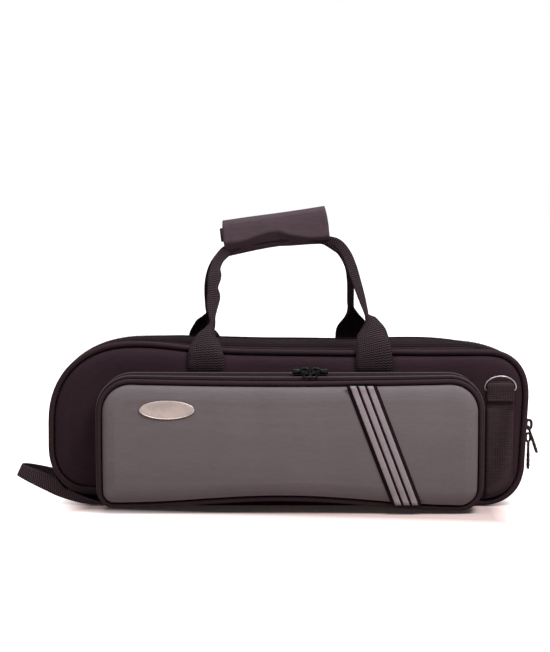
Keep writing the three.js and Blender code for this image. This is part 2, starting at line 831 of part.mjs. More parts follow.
// A slider and its pull in a group: along and outward are directions in the bag's frame
function zipPuller(name, sliderSize, pullSize, place, along, outward, lean) {
  const { plate, bridgeGap, pivot, pivotDrop } = sliderSize;
  const group = new THREE.Group();
  const frame = new THREE.Matrix4().makeBasis(along.clone().cross(outward), along, outward);
  group.quaternion.setFromRotationMatrix(frame);
  group.position.copy(place);
  const pullMesh = meshNode(name.replace("slider", "pull"), pullGeometry(pullSize), blackEnamel);
  pullMesh.position.set(0, pivot, plate + bridgeGap - pivotDrop);
  pullMesh.rotation.x = -lean;
  group.add(meshNode(name, sliderGeometry(sliderSize), blackEnamel), pullMesh);
  return group;
}

// End loop

// A point on the lower left corner of the body, counted in corner steps from its upper end,
// and the outward direction there
function lowerLeftCorner(step) {
  const number = bodyPointCount - cornerSteps + step;
  return { point: bodyOutline[number], outward: outwardDirections(bodyOutline)[number] };
}

function endLoopAnchor() {
  const first = bodyPointCount - cornerSteps;
  const shape = stripShape(
    bodyOutline, -clearance - endLoop.anchorThickness, -clearance,
    first + anchorStartSteps, first + anchorEndSteps,
  );
  const reach = endLoop.halfSpread + endLoop.thickness;
  return slab(shape, endLoop.y - reach, endLoop.y + reach);
}

// A band on edge that runs out to the left, round a bend and back
function endLoopGeometry() {
  const { length, width, thickness, halfSpread, bendSteps } = endLoop;
  const stations = [];
  const add = (x, y, outX, outY) => {
    stations.push({
      place: new THREE.Vector3(x, y, -width / 2),
      across: new THREE.Vector3(0, 0, -width),
      through: new THREE.Vector3(outX, outY, 0).multiplyScalar(thickness),
    });
  };
  const bendX = halfSpread - length;
  add(0, -halfSpread, 0, -1);
  for (let i = 0; i <= 2 * bendSteps; i += 1) {
    const angle = (quarterTurn * i) / bendSteps;
    const outX = -Math.sin(angle);
    const outY = -Math.cos(angle);
    add(bendX + halfSpread * outX, halfSpread * outY, outX, outY);
  }
  add(0, halfSpread, 0, 1);
  return loftStrap(stations);
}

function placedEndLoop() {
  const { point, outward } = lowerLeftCorner(endLoopPivotSteps);
  const seat = point.clone().addScaledVector(outward, endLoop.anchorThickness + 2 * clearance);
  const mesh = meshNode("end_loop", endLoopGeometry(), blackWebbing);
  mesh.position.set(seat.x, endLoop.y, seat.y);
  mesh.rotation.y = endLoopTilt;
  return mesh;
}

// Assembly

function bodyHalf(side, prefix) {
  const group = new THREE.Group();
  group.add(
    meshNode(`${prefix}_panel_fabric`, panelCover(side), blackNylon),
    meshNode(`${prefix}_panel_foam`, panelFoam(side), foam),
    meshNode(`${prefix}_gusset_fabric`, gussetCover(side), blackNylon),
    meshNode(`${prefix}_gusset_foam`, gussetFoam(side), foam),
    meshNode(`${prefix}_bottom_fabric`, bottomCover(side), blackNylon),
    meshNode(
      `${prefix}_piping`,
      outlinePiping(bodyOutline, pipingRadius, side * (halfDepth - pipingRadius)),
      blackPiping,
    ),
    meshNode(`${prefix}_zip_tape`, zipTape(side), zipNylon),
    meshNode(`${prefix}_zip_coil`, zipCoil(side), zipNylon),
  );
  return group;
}

function sewnWebs(side, prefix, spread, shift, bottom) {
  const group = new THREE.Group();
  [["left", -1], ["right", 1]].forEach(([word, end]) => {
    const x = shift + (end * spread) / 2;
    group.add(meshNode(`${prefix}_web_${word}`, flatWeb(x, side, bottom), blackWebbing));
  });
  return group;
}

function pocketGroup() {
  const foamFar = pocketFront - coverThickness - clearance;
  const group = new THREE.Group();
  group.add(
    meshNode("pocket_rear_gusset", pocketRing(webFace, pocketZip - clearance), blackNylon),
    meshNode(
      "pocket_rear_zip",
      pocketZipStrip(pocketZip - pocketZipHalfWidth, pocketZip - clearance), zipNylon,
    ),
    meshNode(
      "pocket_front_gusset",
      pocketRing(pocketZip + clearance, pocketFront - pocketPipingDiameter - clearance), blackNylon,
    ),
    meshNode(
      "pocket_front_zip",
      pocketZipStrip(pocketZip + clearance, pocketZip + pocketZipHalfWidth), zipNylon,
    ),
    meshNode(
      "pocket_panel_fabric",
      sideSlab(
        plateShape(pocketOutline, pocketPipingDiameter + clearance),
        -1, pocketFront - coverThickness, pocketFront,
      ),
      greyNylon,
    ),
    meshNode(
      "pocket_panel_foam",
      sideSlab(
        plateShape(pocketOutline, pocketPipingDiameter + clearance),
        -1, foamFar - pocketFoamThickness, foamFar,
      ),
      foam,
    ),
    meshNode(
      "pocket_piping",
      outlinePiping(pocketOutline, pocketPipingRadius, pocketPipingRadius - pocketFront),
      blackPiping,
    ),
    meshNode("badge_plate", badgeGeometry(), brushedPewter),
    meshNode("stripe_ribbon", ribbonGeometry(), blackWebbing),
  );
  for (let i = 0; i < stripe.count; i += 1) {
    group.add(meshNode(`stripe_line_${i + 1}`, stripeGeometry(i), silverThread));
  }
  return group;
}

function handleGroup() {
  const group = new THREE.Group();
  const half = closureStrip.thickness / 2;
  const strapFace = strapDepth(-1) + foldThickness / 2;
  group.add(
    meshNode("front_handle_strap", handleStrap(-1, handleSpread, 0), blackWebbing),
    meshNode("rear_handle_strap", handleStrap(1, rearHandleSpread, rearHandleShift), blackWebbing),
    inGripFrame(meshNode("grip_flap", gripSleeve(-1), blackNylon)),
    inGripFrame(meshNode("grip_back", gripSleeve(1), blackNylon)),
    inGripFrame(meshNode("grip_loop_strip", stripPlate(-strapFace - clearance - half), plush)),
    inGripFrame(meshNode("grip_hook_strip", stripPlate(clearance + half - sleeveInner), plush)),
  );
  return group;
}

function zipPullers() {
  const group = new THREE.Group();
  const up = new THREE.Vector3(0, 0, 1);
  const right = new THREE.Vector3(1, 0, 0);
  const mainBase = halfLength + coilRise + clearance;
  Object.entries(mainSliderZs).forEach(([word, z]) => {
    const place = new THREE.Vector3(mainBase, 0, z);
    const lean = word === "upper" ? upperPullLean : 0;
    group.add(zipPuller(`main_slider_${word}`, mainSlider, mainPull, place, up, right, lean));
  });
  const pocketBase = pocketTop + clearance + pocketZipThickness + clearance;
  const offset = (pocketSlider.length + sliderGap) / 2;
  [["left", -1], ["right", 1]].forEach(([word, sense]) => {
    const place = new THREE.Vector3(pocketSliderMeet + sense * offset, -pocketZip, pocketBase);
    const along = right.clone().multiplyScalar(-sense);
    group.add(zipPuller(`pocket_slider_${word}`, pocketSlider, pocketPull, place, along, up, 0));
  });
  return group;
}

const bag = new THREE.Group();
bag.add(
  bodyHalf(1, "rear"),
  meshNode("trumpet_bed", trumpetBed(), plush),
  sewnWebs(1, "rear", rearHandleSpread, rearHandleShift, rearWebBottom),
  meshNode("rear_ring_web", ringWeb(rearRingX, 1, rearRingWeb.bottom), blackWebbing),
  meshNode("rear_ring", ringGeometry(rearRingX, 1), nickel),
  bodyHalf(-1, "front"),
  meshNode("front_lining", frontLining(), plush),
  sewnWebs(-1, "front", handleSpread, 0, pocketTop + frontWebGap),
  meshNode("front_ring_web", ringWeb(frontRingX, -1, frontRingWeb.bottom), blackWebbing),
  meshNode("front_ring", ringGeometry(frontRingX, -1), nickel),
  meshNode("end_loop_anchor", endLoopAnchor(), blackWebbing),
  placedEndLoop(),
  pocketGroup(),
  handleGroup(),
  zipPullers(),
);

export default bag;
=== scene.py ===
# Trumpet gig bag: its looks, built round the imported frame. Sizes are in millimetres.
import math

import bmesh
import bpy
import numpy as np
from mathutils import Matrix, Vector
from mathutils.bvhtree import BVHTree


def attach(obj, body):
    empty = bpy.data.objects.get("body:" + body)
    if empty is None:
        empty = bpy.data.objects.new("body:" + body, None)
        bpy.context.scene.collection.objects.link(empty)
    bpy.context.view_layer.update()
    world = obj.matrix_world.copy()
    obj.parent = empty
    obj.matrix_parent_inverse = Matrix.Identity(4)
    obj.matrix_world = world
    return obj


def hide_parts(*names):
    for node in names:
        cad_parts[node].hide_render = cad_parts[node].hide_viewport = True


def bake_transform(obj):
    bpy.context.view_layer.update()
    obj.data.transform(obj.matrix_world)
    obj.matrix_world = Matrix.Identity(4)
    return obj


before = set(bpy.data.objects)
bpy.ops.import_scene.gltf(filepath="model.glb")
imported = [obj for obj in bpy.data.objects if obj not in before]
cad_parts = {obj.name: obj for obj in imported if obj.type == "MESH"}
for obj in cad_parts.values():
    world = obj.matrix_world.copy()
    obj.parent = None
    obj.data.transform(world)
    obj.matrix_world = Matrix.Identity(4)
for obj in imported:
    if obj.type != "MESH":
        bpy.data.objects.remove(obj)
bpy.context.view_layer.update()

# Units
metre = 1000
mm = 1 / metre
full_turn = 2 * math.pi
quarter_turn = math.pi / 2
half_share = 1 / 2

# Camera, in front of the pocket and a little above it
camera_place = (-15.1, -2055, 420.5)
camera_pitch = math.radians(6.2)
focal_pixels = 1775
picture_height = 652
sensor_size = 36

# Body outlines, seen from the front. A corner has its centre, its two radii and the exponent that
# makes it fuller than an ellipse; the places along the top are X and Z
body_half_depth = 75
low_corners = {
    "low_right": ((216, 52.6), (51.8, 52.6), 2.35), "low_left": ((-224, 68), (47.6, 51.5), 2.2),
}
front_shape = {
    **low_corners,
    "high_right": ((221, 124), (50.3, 54.9), 2.4),
    "top": ((188, 178.7), (157, 178.5), (125, 178.8), (74, 177.9), (26, 178.4), (-20, 179), (-65, 180.1),
            (-111, 183.3), (-128, 185.2), (-141, 186.7), (-159, 188.1)),
    "high_left": ((-174, 94.5), (97.4, 93.8), 2.2),
}
rear_shape = {
    **low_corners,
    "high_right": ((150, 136.5), (120, 40), 2),
    "top": ((131, 176.5), (100, 175.9), (56, 175.2), (27, 175.6), (0, 175.8), (-31, 176), (-74, 177.1),
            (-95, 177.7), (-112, 178.1), (-127, 178.4), (-137, 178.3)),
    "high_left": ((-155, 95), (116, 83), 2.15),
}
floor_touch_x = -110
# The foot at the left end is lifted at the front piping and settles on the floor behind it
left_foot_lift = 16.5
left_foot_reach = 45
left_foot_depth = 16
corner_steps = 16
bottom_steps = 30
top_steps = 44
side_steps = 6
body_spine = ((-180, 96), (195, 92))
# Where each corner's arc starts, in the order that goes round an outline
corner_angles = {"low_right": -quarter_turn, "high_right": 0, "high_left": quarter_turn, "low_left": math.pi}

# Pocket
pocket_left = -213.7
pocket_right = 216.9
pocket_top = 153.4
pocket_top_sag = 3.6
pocket_foot = {"left": 5, "right": 1.8}
pocket_arch = 9.5
pocket_radii = {"low_right": 27, "high_right": 39, "high_left": 40, "low_left": 20}
pocket_front = 122
pocket_zip = 98
pocket_tuck = 4
pocket_tuck_height = 60
pocket_lean = 4
pocket_spine = ((-165, 80), (170, 78))

# Piping and seams. A seam is a near-black cord in the groove beside the piping, painted shade of that groove
# along the real seam line; it has its inset, its depth and its radius
piping_radius = 3.2
pocket_piping_radius = 2.7
pocket_piping_inset = 4
body_seam_shade = (0.75, 67.4, 0.9)
pocket_seam_shade = (1.6, -116.2, 0.9)
piping_sides = 12

# Zip
coil_height = 3.6
coil_gap = 0.3
coil_half_width = 2.6
tape_rise = 2.4
tooth_pitch = 1.6
# Teeth: height of every other one, where a tooth widens, and where its crown begins
short_tooth_share = 0.62
tooth_waist_share = 0.45
tooth_crown_share = 0.25
zip_floor_height = 14


# Mesh helpers

merge_distance = 0.02


def new_object(name, vertices, faces, look, smooth=True, uvs=None):
    """A mesh object from points in millimetres."""
    mesh = bpy.data.meshes.new(name)
    mesh.from_pydata([tuple(v) for v in np.asarray(vertices) * mm], [], faces)
    mesh.validate()
    mesh.update()
    if uvs is not None:
        layer = mesh.uv_layers.new(name="UVMap")
        corner_vertex = np.zeros(len(mesh.loops), int)
        mesh.loops.foreach_get("vertex_index", corner_vertex)
        layer.data.foreach_set("uv", (np.asarray(uvs)[corner_vertex] * mm).ravel())
    mesh.polygons.foreach_set("use_smooth", [smooth] * len(mesh.polygons))
    mesh.materials.append(looks[look])
    obj = bpy.data.objects.new(name, mesh)
    bpy.context.scene.collection.objects.link(obj)
    return obj


def grid_faces(rows, columns, wrap_rows, wrap_columns):
    """Four-sided faces over a grid of points, joined round where it wraps."""
    faces = []
    for r in range(rows if wrap_rows else rows - 1):
        below = (r + 1) % rows
        for c in range(columns if wrap_columns else columns - 1):
            beside = (c + 1) % columns
            faces.append((
                r * columns + c, r * columns + beside,
                below * columns + beside, below * columns + c,
            ))
    return faces


def grid_object(name, grid, look, wrap_rows=False, wrap_columns=True, caps=False, uvs=None):
    """A mesh over a grid of points, rows by columns, with its faces turned outwards."""
    rows, columns = grid.shape[:2]
    faces = grid_faces(rows, columns, wrap_rows, wrap_columns)
    if caps:
        faces.append(tuple(range(columns)))
        last = (rows - 1) * columns
        faces.append(tuple(range(last + columns - 1, last - 1, -1)))
    flat_uvs = None if uvs is None else uvs.reshape(-1, 2)
    obj = new_object(name, grid.reshape(-1, 3), faces, look, uvs=flat_uvs)
    turn_outwards(obj)
    return obj


def turn_outwards(obj):
    work = bmesh.new()
    work.from_mesh(obj.data)
    bmesh.ops.remove_doubles(work, verts=work.verts, dist=merge_distance * mm)
    bmesh.ops.recalc_face_normals(work, faces=work.faces)
    work.to_mesh(obj.data)
    work.free()


def settle(obj, body, slot, *nodes):
    """Gives a finished piece its body and hides the nodes that it stands for; the material slot is not used.
    """
    if body:
        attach(obj, body)
    if nodes:
        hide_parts(*nodes)
    return obj


def smoothstep(value):
    value = np.clip(value, 0, 1)
    return value * value * (3 - 2 * value)


def lengths_along(points):
    """How far along a path each of its points lies."""
    return np.concatenate([[0], np.cumsum(np.linalg.norm(np.diff(points, axis=0), axis=1))])


def unit_rows(rows):
    return rows / np.linalg.norm(rows, axis=1)[:, None]


def ring_ahead(points):
    """The way ahead at each point of a closed path."""
    return np.roll(points, -1, axis=0) - np.roll(points, 1, axis=0)


def spline(points, samples):
    """Points along a smooth curve through the given rows of numbers, evenly in the rows."""
    points = np.asarray(points, float)
    count = len(points)
    where = np.linspace(0, count - 1, samples)
    first = np.clip(where.astype(int), 0, count - 2)
    share = (where - first)[:, None]
    before = points[np.clip(first - 1, 0, count - 1)]
    start = points[first]
    end = points[first + 1]
    after = points[np.clip(first + 2, 0, count - 1)]
    lead = (end - before) / 2
    trail = (after - start) / 2
    square = share * share
    cube = square * share
    return (
        (2 * cube - 3 * square + 1) * start
        + (cube - 2 * square + share) * lead
        + (3 * square - 2 * cube) * end
        + (cube - square) * trail
    )


# Outlines

def corner(shape, start_angle, steps=corner_steps):
    """A quarter of an oval from the given angle on, fuller than an ellipse by its exponent."""
    centre, radii, exponent = shape
    angles = start_angle + quarter_turn * np.arange(steps + 1) / steps
    cosines, sines = np.cos(angles), np.sin(angles)
    power = 2 / exponent
    return np.stack([
        centre[0] + radii[0] * np.sign(cosines) * np.abs(cosines) ** power,
        centre[1] + radii[1] * np.sign(sines) * np.abs(sines) ** power,
    ], axis=1)


def arc(centre, radii, start_angle, steps=corner_steps):
    """A quarter of a plain ellipse."""
    return corner((centre, radii, 2), start_angle, steps)


def run(start, end, steps):
    """Points between two ends, without the ends themselves."""
    shares = np.arange(1, steps)[:, None] / steps
    return np.asarray(start) + (np.asarray(end) - np.asarray(start)) * shares


class Outline:
    """A closed outline in X and Z, with the way out at each point and its place on a spine."""

    def __init__(self, corners, top, bottom, steps, spine):
        low_right, high_right, high_left, low_left = corners
        points = np.concatenate([
            low_right, run(low_right[-1], high_right[0], steps), high_right, top, high_left,
            run(high_left[-1], low_left[0], steps), low_left, bottom,
        ])
        self.points = points
        along = ring_ahead(points)
        self.outward = unit_rows(np.stack([along[:, 1], -along[:, 0]], axis=1))
        count = len(points)
        first = int(np.argmax(points[:, 0] - np.abs(points[:, 1] - spine[1][1]) / count))
        partner = (2 * first - np.arange(count)) % count
        middle = (points[:, 0] + points[partner, 0]) / 2
        (start_x, start_z), (end_x, end_z) = spine
        middle = np.clip(middle, start_x, end_x)
        heights = start_z + (end_z - start_z) * (middle - start_x) / (end_x - start_x)
        self.hearts = np.stack([middle, heights], axis=1)


def body_outline(shape):
    corners = [corner(shape[word], angle) for word, angle in corner_angles.items()]
    low_right, high_right, high_left, low_left = corners
    top = run(high_right[-1], high_left[0], top_steps)
    known = np.array([high_right[-1], *shape["top"], high_left[0]])
    curve = spline(known, bottom_steps * side_steps)
    top[:, 1] = np.interp(-top[:, 0], -curve[:, 0], curve[:, 1])
    bottom = run(low_left[-1], low_right[0], bottom_steps)
    lift = low_left[-1][1]
    eased = smoothstep((bottom[:, 0] - low_left[-1][0]) / (floor_touch_x - low_left[-1][0]))
    bottom[:, 1] = lift * (1 - eased)
    return Outline(corners, top, bottom, side_steps, body_spine)


def pocket_outline():
    corners = []
    for word, angle in corner_angles.items():
        level, end = word.split("_")
        radius = pocket_radii[word]
        x = pocket_left + radius if end == "left" else pocket_right - radius
        z = pocket_top - radius if level == "high" else pocket_foot[end] + radius
        corners.append(arc((x, z), (radius, radius), angle))
    low_right, high_right, high_left, low_left = corners
    top = run(high_right[-1], high_left[0], top_steps)
    bottom = run(low_left[-1], low_right[0], top_steps)
    bottom[:, 1] += pocket_arch * np.sin(math.pi * np.arange(1, top_steps) / top_steps) ** 2
    return Outline(corners, top, bottom, corner_steps, pocket_spine)


front_outline = body_outline(front_shape)
rear_outline = body_outline(rear_shape)
pocket_line = pocket_outline()


def body_ring(inset, y, inward=0):
    """Points round the body at one depth, set in from its outline and drawn towards its spine."""
    share = np.clip((y + body_half_depth) / (2 * body_half_depth), 0, 1)
    points = front_outline.points * (1 - share) + rear_outline.points * share
    over = np.clip(points[:, 1] - left_foot_lift, 0, None)
    drop = np.minimum(points[:, 1], left_foot_lift) * smoothstep(1 - over / left_foot_reach)
    drop = drop * (points[:, 0] < 0) * smoothstep((y + body_half_depth) / left_foot_depth)
    points = np.stack([points[:, 0], points[:, 1] - drop], axis=1)
    points = points - front_outline.outward * inset
    points = points + (front_outline.hearts - points) * inward
    return np.stack([points[:, 0], np.full(len(points), float(y)), points[:, 1]], axis=1)


def pocket_ring(inset, y, inward=0):
    """The same round the pocket, whose top sags and whose foot tucks under towards its front."""
    share = np.clip((-y - body_half_depth) / (pocket_front - body_half_depth), 0, 1)
    points = pocket_line.points - pocket_line.outward * inset
    points = points + (pocket_line.hearts - points) * inward
    across = (points[:, 0] - pocket_left) / (pocket_right - pocket_left)
    high = smoothstep((points[:, 1] - pocket_spine[0][1]) / (pocket_top - pocket_spine[0][1]))
    sag = pocket_top_sag * share * high * np.sin(math.pi * np.clip(across, 0, 1))
    tuck = pocket_tuck * share * smoothstep(1 - points[:, 1] / pocket_tuck_height)
    lean = pocket_lean * share * high
    return np.stack([points[:, 0], y + tuck + lean, points[:, 1] - sag], axis=1)


# Slow waves that keep a padded face from being dead flat: lengths along X and Z, start and share
ripples = ((33, 57, 0, 0.5), (19, -27, 1.7, 0.3), (71, 15, 0.6, 0.2))
ripple_start = 8
ripple_run = 12
pillow_from = 70
pillow_reach_share = 1.2


def ripple(x, z):
    return sum(share * np.sin(x / long + z / high + start) for long, high, start, share in ripples)


def sweep(name, ring, profile, look, closed=True, span=None, uneven=0):
    """A skin whose section is drawn as insets and depths and carried round an outline."""
    grid = np.stack([ring(*place) for place in profile])
    if uneven:
        insets = np.array([place[0] for place in profile])
        weight = uneven * smoothstep((insets - ripple_start) / ripple_run)[:, None]
        grid[:, :, 1] += weight * ripple(grid[:, :, 0], grid[:, :, 2])
    if span is None:
        return grid_object(name, grid, look, wrap_rows=closed)
    grid = np.transpose(grid[:, span], (1, 0, 2))
    return grid_object(name, grid, look, wrap_columns=closed, caps=True)


def skin(name, ring, profile, look, body, slot, *nodes, **options):
    """A swept piece that is settled at once."""
    return settle(sweep(name, ring, profile, look, **options), body, slot, *nodes)


def pillowed(profile, rise):
    """The section with its middle raised by a soft swelling that grows towards the spine."""
    lifted = []
    for inset, y, *inward in profile:
        share = inward[0] if inward else 0
        reach = quarter_turn * min(share * pillow_reach_share, 1)
        swell = rise * math.sin(reach) if y > pillow_from else 0
        lifted.append((inset, y + swell, *inward))
    return lifted


def mirrored(profile, side):
    """The section for the front (-1) or the rear (1) of the body, from depths as positive sizes."""
    return [(inset, side * y, *rest) for inset, y, *rest in profile]


def piping_section(inset, y, radius):
    angles = [full_turn * i / piping_sides for i in range(piping_sides)]
    return [(inset + radius * math.cos(angle), y + radius * math.sin(angle)) for angle in angles]


# Materials

class Shading:
    """A material or world being made, with short calls for the nodes that shade it."""

    def __init__(self, owner):
        owner.use_nodes = True
        self.owner = owner
        self.tree = owner.node_tree
        self.shader = self.tree.nodes.get("Principled BSDF")

    def add(self, kind):
        return self.tree.nodes.new(f"ShaderNode{kind}")

    def link(self, source, socket):
        self.tree.links.new(source, socket)

    def math(self, operation, first, second):
        node = self.add("Math")
        node.operation = operation
        for socket, value in zip(node.inputs, (first, second)):
            if isinstance(value, (int, float)):
                socket.default_value = value
            else:
                self.link(value, socket)
        return node.outputs[0]

    def mixture(self, *parts):
        """The sum of several values, each taken by its share."""
        total = None
        for value, share in parts:
            scaled = self.math("MULTIPLY", value, share)
            total = scaled if total is None else self.math("ADD", total, scaled)
        return total

    def split(self, source):
        node = self.add("SeparateXYZ")
        self.link(source, node.inputs[0])
        return node.outputs

    def turns(self, source, axis, pitch):
        """An angle that makes one turn for each pitch along an axis."""
        return self.math("MULTIPLY", self.split(source)[axis], full_turn / (pitch * mm))

    def wave(self, angle):
        """A wave between 0 and 1."""
        half = self.math("MULTIPLY", self.math("SINE", angle, 0), half_share)
        return self.math("ADD", half, half_share)

    def noise(self, source, size, detail, stretch=(1, 1, 1)):
        mapping = self.add("Mapping")
        mapping.inputs["Scale"].default_value = stretch
        self.link(source, mapping.inputs["Vector"])
        noise = self.add("TexNoise")
        noise.inputs["Scale"].default_value = 1 / (size * mm)
        noise.inputs["Detail"].default_value = detail
        self.link(mapping.outputs["Vector"], noise.inputs["Vector"])
        return noise.outputs["Fac"]

    def between(self, factor, dark, light):
        ramp = self.add("Mix")
        ramp.data_type = "RGBA"
        self.link(factor, ramp.inputs["Factor"])
        ramp.inputs["A"].default_value = (*dark, 1)
        ramp.inputs["B"].default_value = (*light, 1)
        return ramp.outputs["Result"]

    def surface(self, factor, dark, light, roughness, shine):
        """Sets the colour, which goes from dark to light by the factor, and the gloss."""
        self.link(self.between(factor, dark, light), self.shader.inputs["Base Color"])
        self.shader.inputs["Roughness"].default_value = roughness
        self.shader.inputs["Specular IOR Level"].default_value = shine

    def bump(self, height, distance, strength):
        bump = self.add("Bump")
        bump.inputs["Distance"].default_value = distance * mm
        bump.inputs["Strength"].default_value = strength
        self.link(height, bump.inputs["Height"])
        self.link(bump.outputs["Normal"], self.shader.inputs["Normal"])


fine_detail = 3
soft_detail = 2
# Woven cloth: shares of the slubs and the clouds in its shade, and how deep its threads stand
slub_size = 2.2
slub_stretch = (0.25, 1, 1)
slub_share = 0.5
slub_relief_share = 0.6
cloud_size = 45
cloud_share = 0.3
weave_depth = 0.12
# Webbing: how far its ribs waver, their fuzz, and the beads in a rib for each wave across
zigzag_width = 4.5
zigzag_turn = 1.1
fuzz_size = 1.5
bead_turns = 2
rib_shares = (0.4, 0.4, 0.2)
rib_depth = 0.5
rib_strength = 0.8
cloth_shine = 0.01
# Plush: size of its pile and of its brushed patches
pile_size = 0.8
brushed_size = 25
pile_depth = 0.5
pile_strength = 0.9
pile_roughness = 1
pile_sheen = 0.6
pile_sheen_roughness = 0.5
# Metal and nylon: size of its brushing and of its tarnish
brushing_size = 0.35
brushing_stretch = (0.08, 1, 1)
brushing_depth = 0.05
tarnish_size = 9
fine_share = 0.4
broad_share = 0.6


def new_shading(name):
    """A new material, and the node that gives places on a piece."""
    shading = Shading(bpy.data.materials.new(name))
    return shading, shading.add("TexCoord").outputs["Object"]


def woven(name, dark, light, pitch, roughness, strength, shine, weave_share):
    """Plain woven nylon: crossing threads, slubs and slow shade changes."""
    shading, place = new_shading(name)
    waves = [shading.wave(shading.turns(place, axis, pitch)) for axis in range(3)]
    crossed = shading.math("ADD", waves[0], waves[1])
    crossed = shading.math("ADD", crossed, waves[2])
    threads = shading.math("MULTIPLY", crossed, 1 / len(waves))
    slubs = shading.noise(place, slub_size, fine_detail, slub_stretch)
    clouds = shading.noise(place, cloud_size, soft_detail)
    factor = shading.mixture((slubs, slub_share), (clouds, cloud_share), (threads, weave_share))
    shading.surface(factor, dark, light, roughness, shine)
    relief = shading.math("MULTIPLY", slubs, slub_relief_share)
    shading.bump(shading.math("ADD", threads, relief), weave_depth, strength)
    return shading.owner


def ribbed(name, dark, light, pitch, roughness):
    """Webbing: ribs across its length, each a row of small slanted threads."""
    shading, solid = new_shading(name)
    place = shading.add("UVMap").outputs["UV"]
    across = shading.turns(place, 0, zigzag_width)
    shift = shading.math("MULTIPLY", shading.math("SINE", across, 0), zigzag_turn)
    ribs = shading.wave(shading.math("ADD", shading.turns(place, 1, pitch), shift))
    fuzz = shading.noise(solid, fuzz_size, soft_detail)
    beads = shading.wave(shading.math("MULTIPLY", across, bead_turns))
    beaded = shading.math("MULTIPLY", ribs, beads)
    factor = shading.mixture(*zip((ribs, beaded, fuzz), rib_shares))
    shading.surface(factor, dark, light, roughness, cloth_shine)
    shading.bump(factor, rib_depth, rib_strength)
    return shading.owner


def napped(name, dark, light):
    """Short plush pile."""
    shading, place = new_shading(name)
    fine = shading.noise(place, pile_size, soft_detail)
    brushed = shading.noise(place, brushed_size, fine_detail)
    factor = shading.mixture((fine, fine_share), (brushed, broad_share))
    shading.surface(factor, dark, light, pile_roughness, cloth_shine)
    shading.shader.inputs["Sheen Weight"].default_value = pile_sheen
    shading.shader.inputs["Sheen Roughness"].default_value = pile_sheen_roughness
    shading.bump(fine, pile_depth, pile_strength)
    return shading.owner


def metal(name, dark, light, roughness, metallic, strength, shine):
    """Metal, or hard nylon, with fine brushing along X and a little tarnish."""
    shading, place = new_shading(name)
    lines = shading.noise(place, brushing_size, fine_detail, brushing_stretch)
    tarnish = shading.noise(place, tarnish_size, fine_detail)
    factor = shading.mixture((lines, fine_share), (tarnish, broad_share))
    shading.surface(factor, dark, light, roughness, shine)
    shading.shader.inputs["Metallic"].default_value = metallic
    shading.bump(lines, brushing_depth, strength)
    return shading.owner


# Dark and light shade, then thread pitch, roughness, relief, shine and share of the weave
cloths = {
    "cover_nylon": ((0.0125, 0.0060, 0.0088), (0.0325, 0.0195, 0.0255), 1.1, 0.7, 0.3, 0.04, 0.2),
    # Darker copy of the cover nylon for the walls, base and pocket sides: painted shade against the light
    # that falls on the tops of the walls
    "side_nylon": ((0.0085, 0.0052, 0.0068), (0.0195, 0.0130, 0.0160), 1.1, 0.8, 0.3, 0.01, 0.2),
    # Near-black copy of the nylon for the seam cords: painted shade of the grooves beside the piping
    "seam_nylon": ((0.002, 0.001, 0.001), (0.005, 0.003, 0.003), 0.9, 0.9, 0.2, 0.01, 0.2),
    "wrap_nylon": ((0.040, 0.028, 0.034), (0.086, 0.064, 0.075), 1.1, 0.8, 0.3, 0.01, 0.2),
    "piping_nylon": ((0.0160, 0.0092, 0.0110), (0.0360, 0.0230, 0.0270), 0.9, 0.7, 0.2, 0.03, 0.2),
    # Lighter copy of the nylon for the pocket's zip bindings: a painted highlight on their ridges
    "binding_nylon": ((0.040, 0.031, 0.035), (0.080, 0.064, 0.071), 0.9, 0.7, 0.2, 0.03, 0.2),
    "pocket_nylon": ((0.092, 0.079, 0.084), (0.146, 0.129, 0.136), 0.9, 0.75, 0.25, 0.03, 0.2),
    "zip_tape": ((0.006, 0.004, 0.005), (0.024, 0.017, 0.020), 2.0, 0.8, 0.8, 0.01, 0.2),
    "ring_webbing": ((0.001, 0.0005, 0.0005), (0.044, 0.030, 0.034), 2.6, 0.8, 0.9, 0.01, 0.75),
    "thread": ((0.03, 0.022, 0.026), (0.09, 0.07, 0.08), 0.6, 0.6, 0.5, 0.3, 0.2),
}
# Dark and light shade, then pitch of the ribs and roughness
webbings = {
    "webbing": ((0, 0, 0), (0.066, 0.048, 0.054), 2.6, 0.8),
    "loop_webbing": ((0, 0, 0), (0.112, 0.081, 0.092), 2.6, 0.8),
    "ribbon": ((0.006, 0.004, 0.0045), (0.018, 0.012, 0.014), 1.2, 0.8),
    "stripe_thread": ((0.20, 0.175, 0.19), (0.34, 0.30, 0.325), 1.2, 0.6),
}
piles = {
    "plush_lining": ((0.006, 0.006, 0.008), (0.022, 0.022, 0.028)),
    "hook_and_loop": ((0.008, 0.008, 0.008), (0.02, 0.02, 0.02)),
}
# Dark and light shade, then roughness, metal or not, relief and shine
metals = {
    "zip_coil": ((0.007, 0.005, 0.006), (0.024, 0.018, 0.02), 0.7, 0, 0.2, 0.03),
    "black_enamel": ((0.008, 0.006, 0.006), (0.018, 0.014, 0.014), 0.5, 0, 0.3, 0.2),
    "black_nickel": ((0.002, 0.002, 0.002), (0.005, 0.005, 0.005), 0.2, 0, 0.6, 0.12),
    "nickel": ((0.20, 0.19, 0.18), (0.42, 0.41, 0.40), 0.32, 1, 0.15, 0.5),
    "badge_metal": ((0.20, 0.165, 0.15), (0.44, 0.38, 0.355), 0.42, 1, 0.5, 0.5),
}
looks = {}
for make, table in ((woven, cloths), (ribbed, webbings), (napped, piles), (metal, metals)):
    looks.update({name: make(name, *values) for name, values in table.items()})


# Body

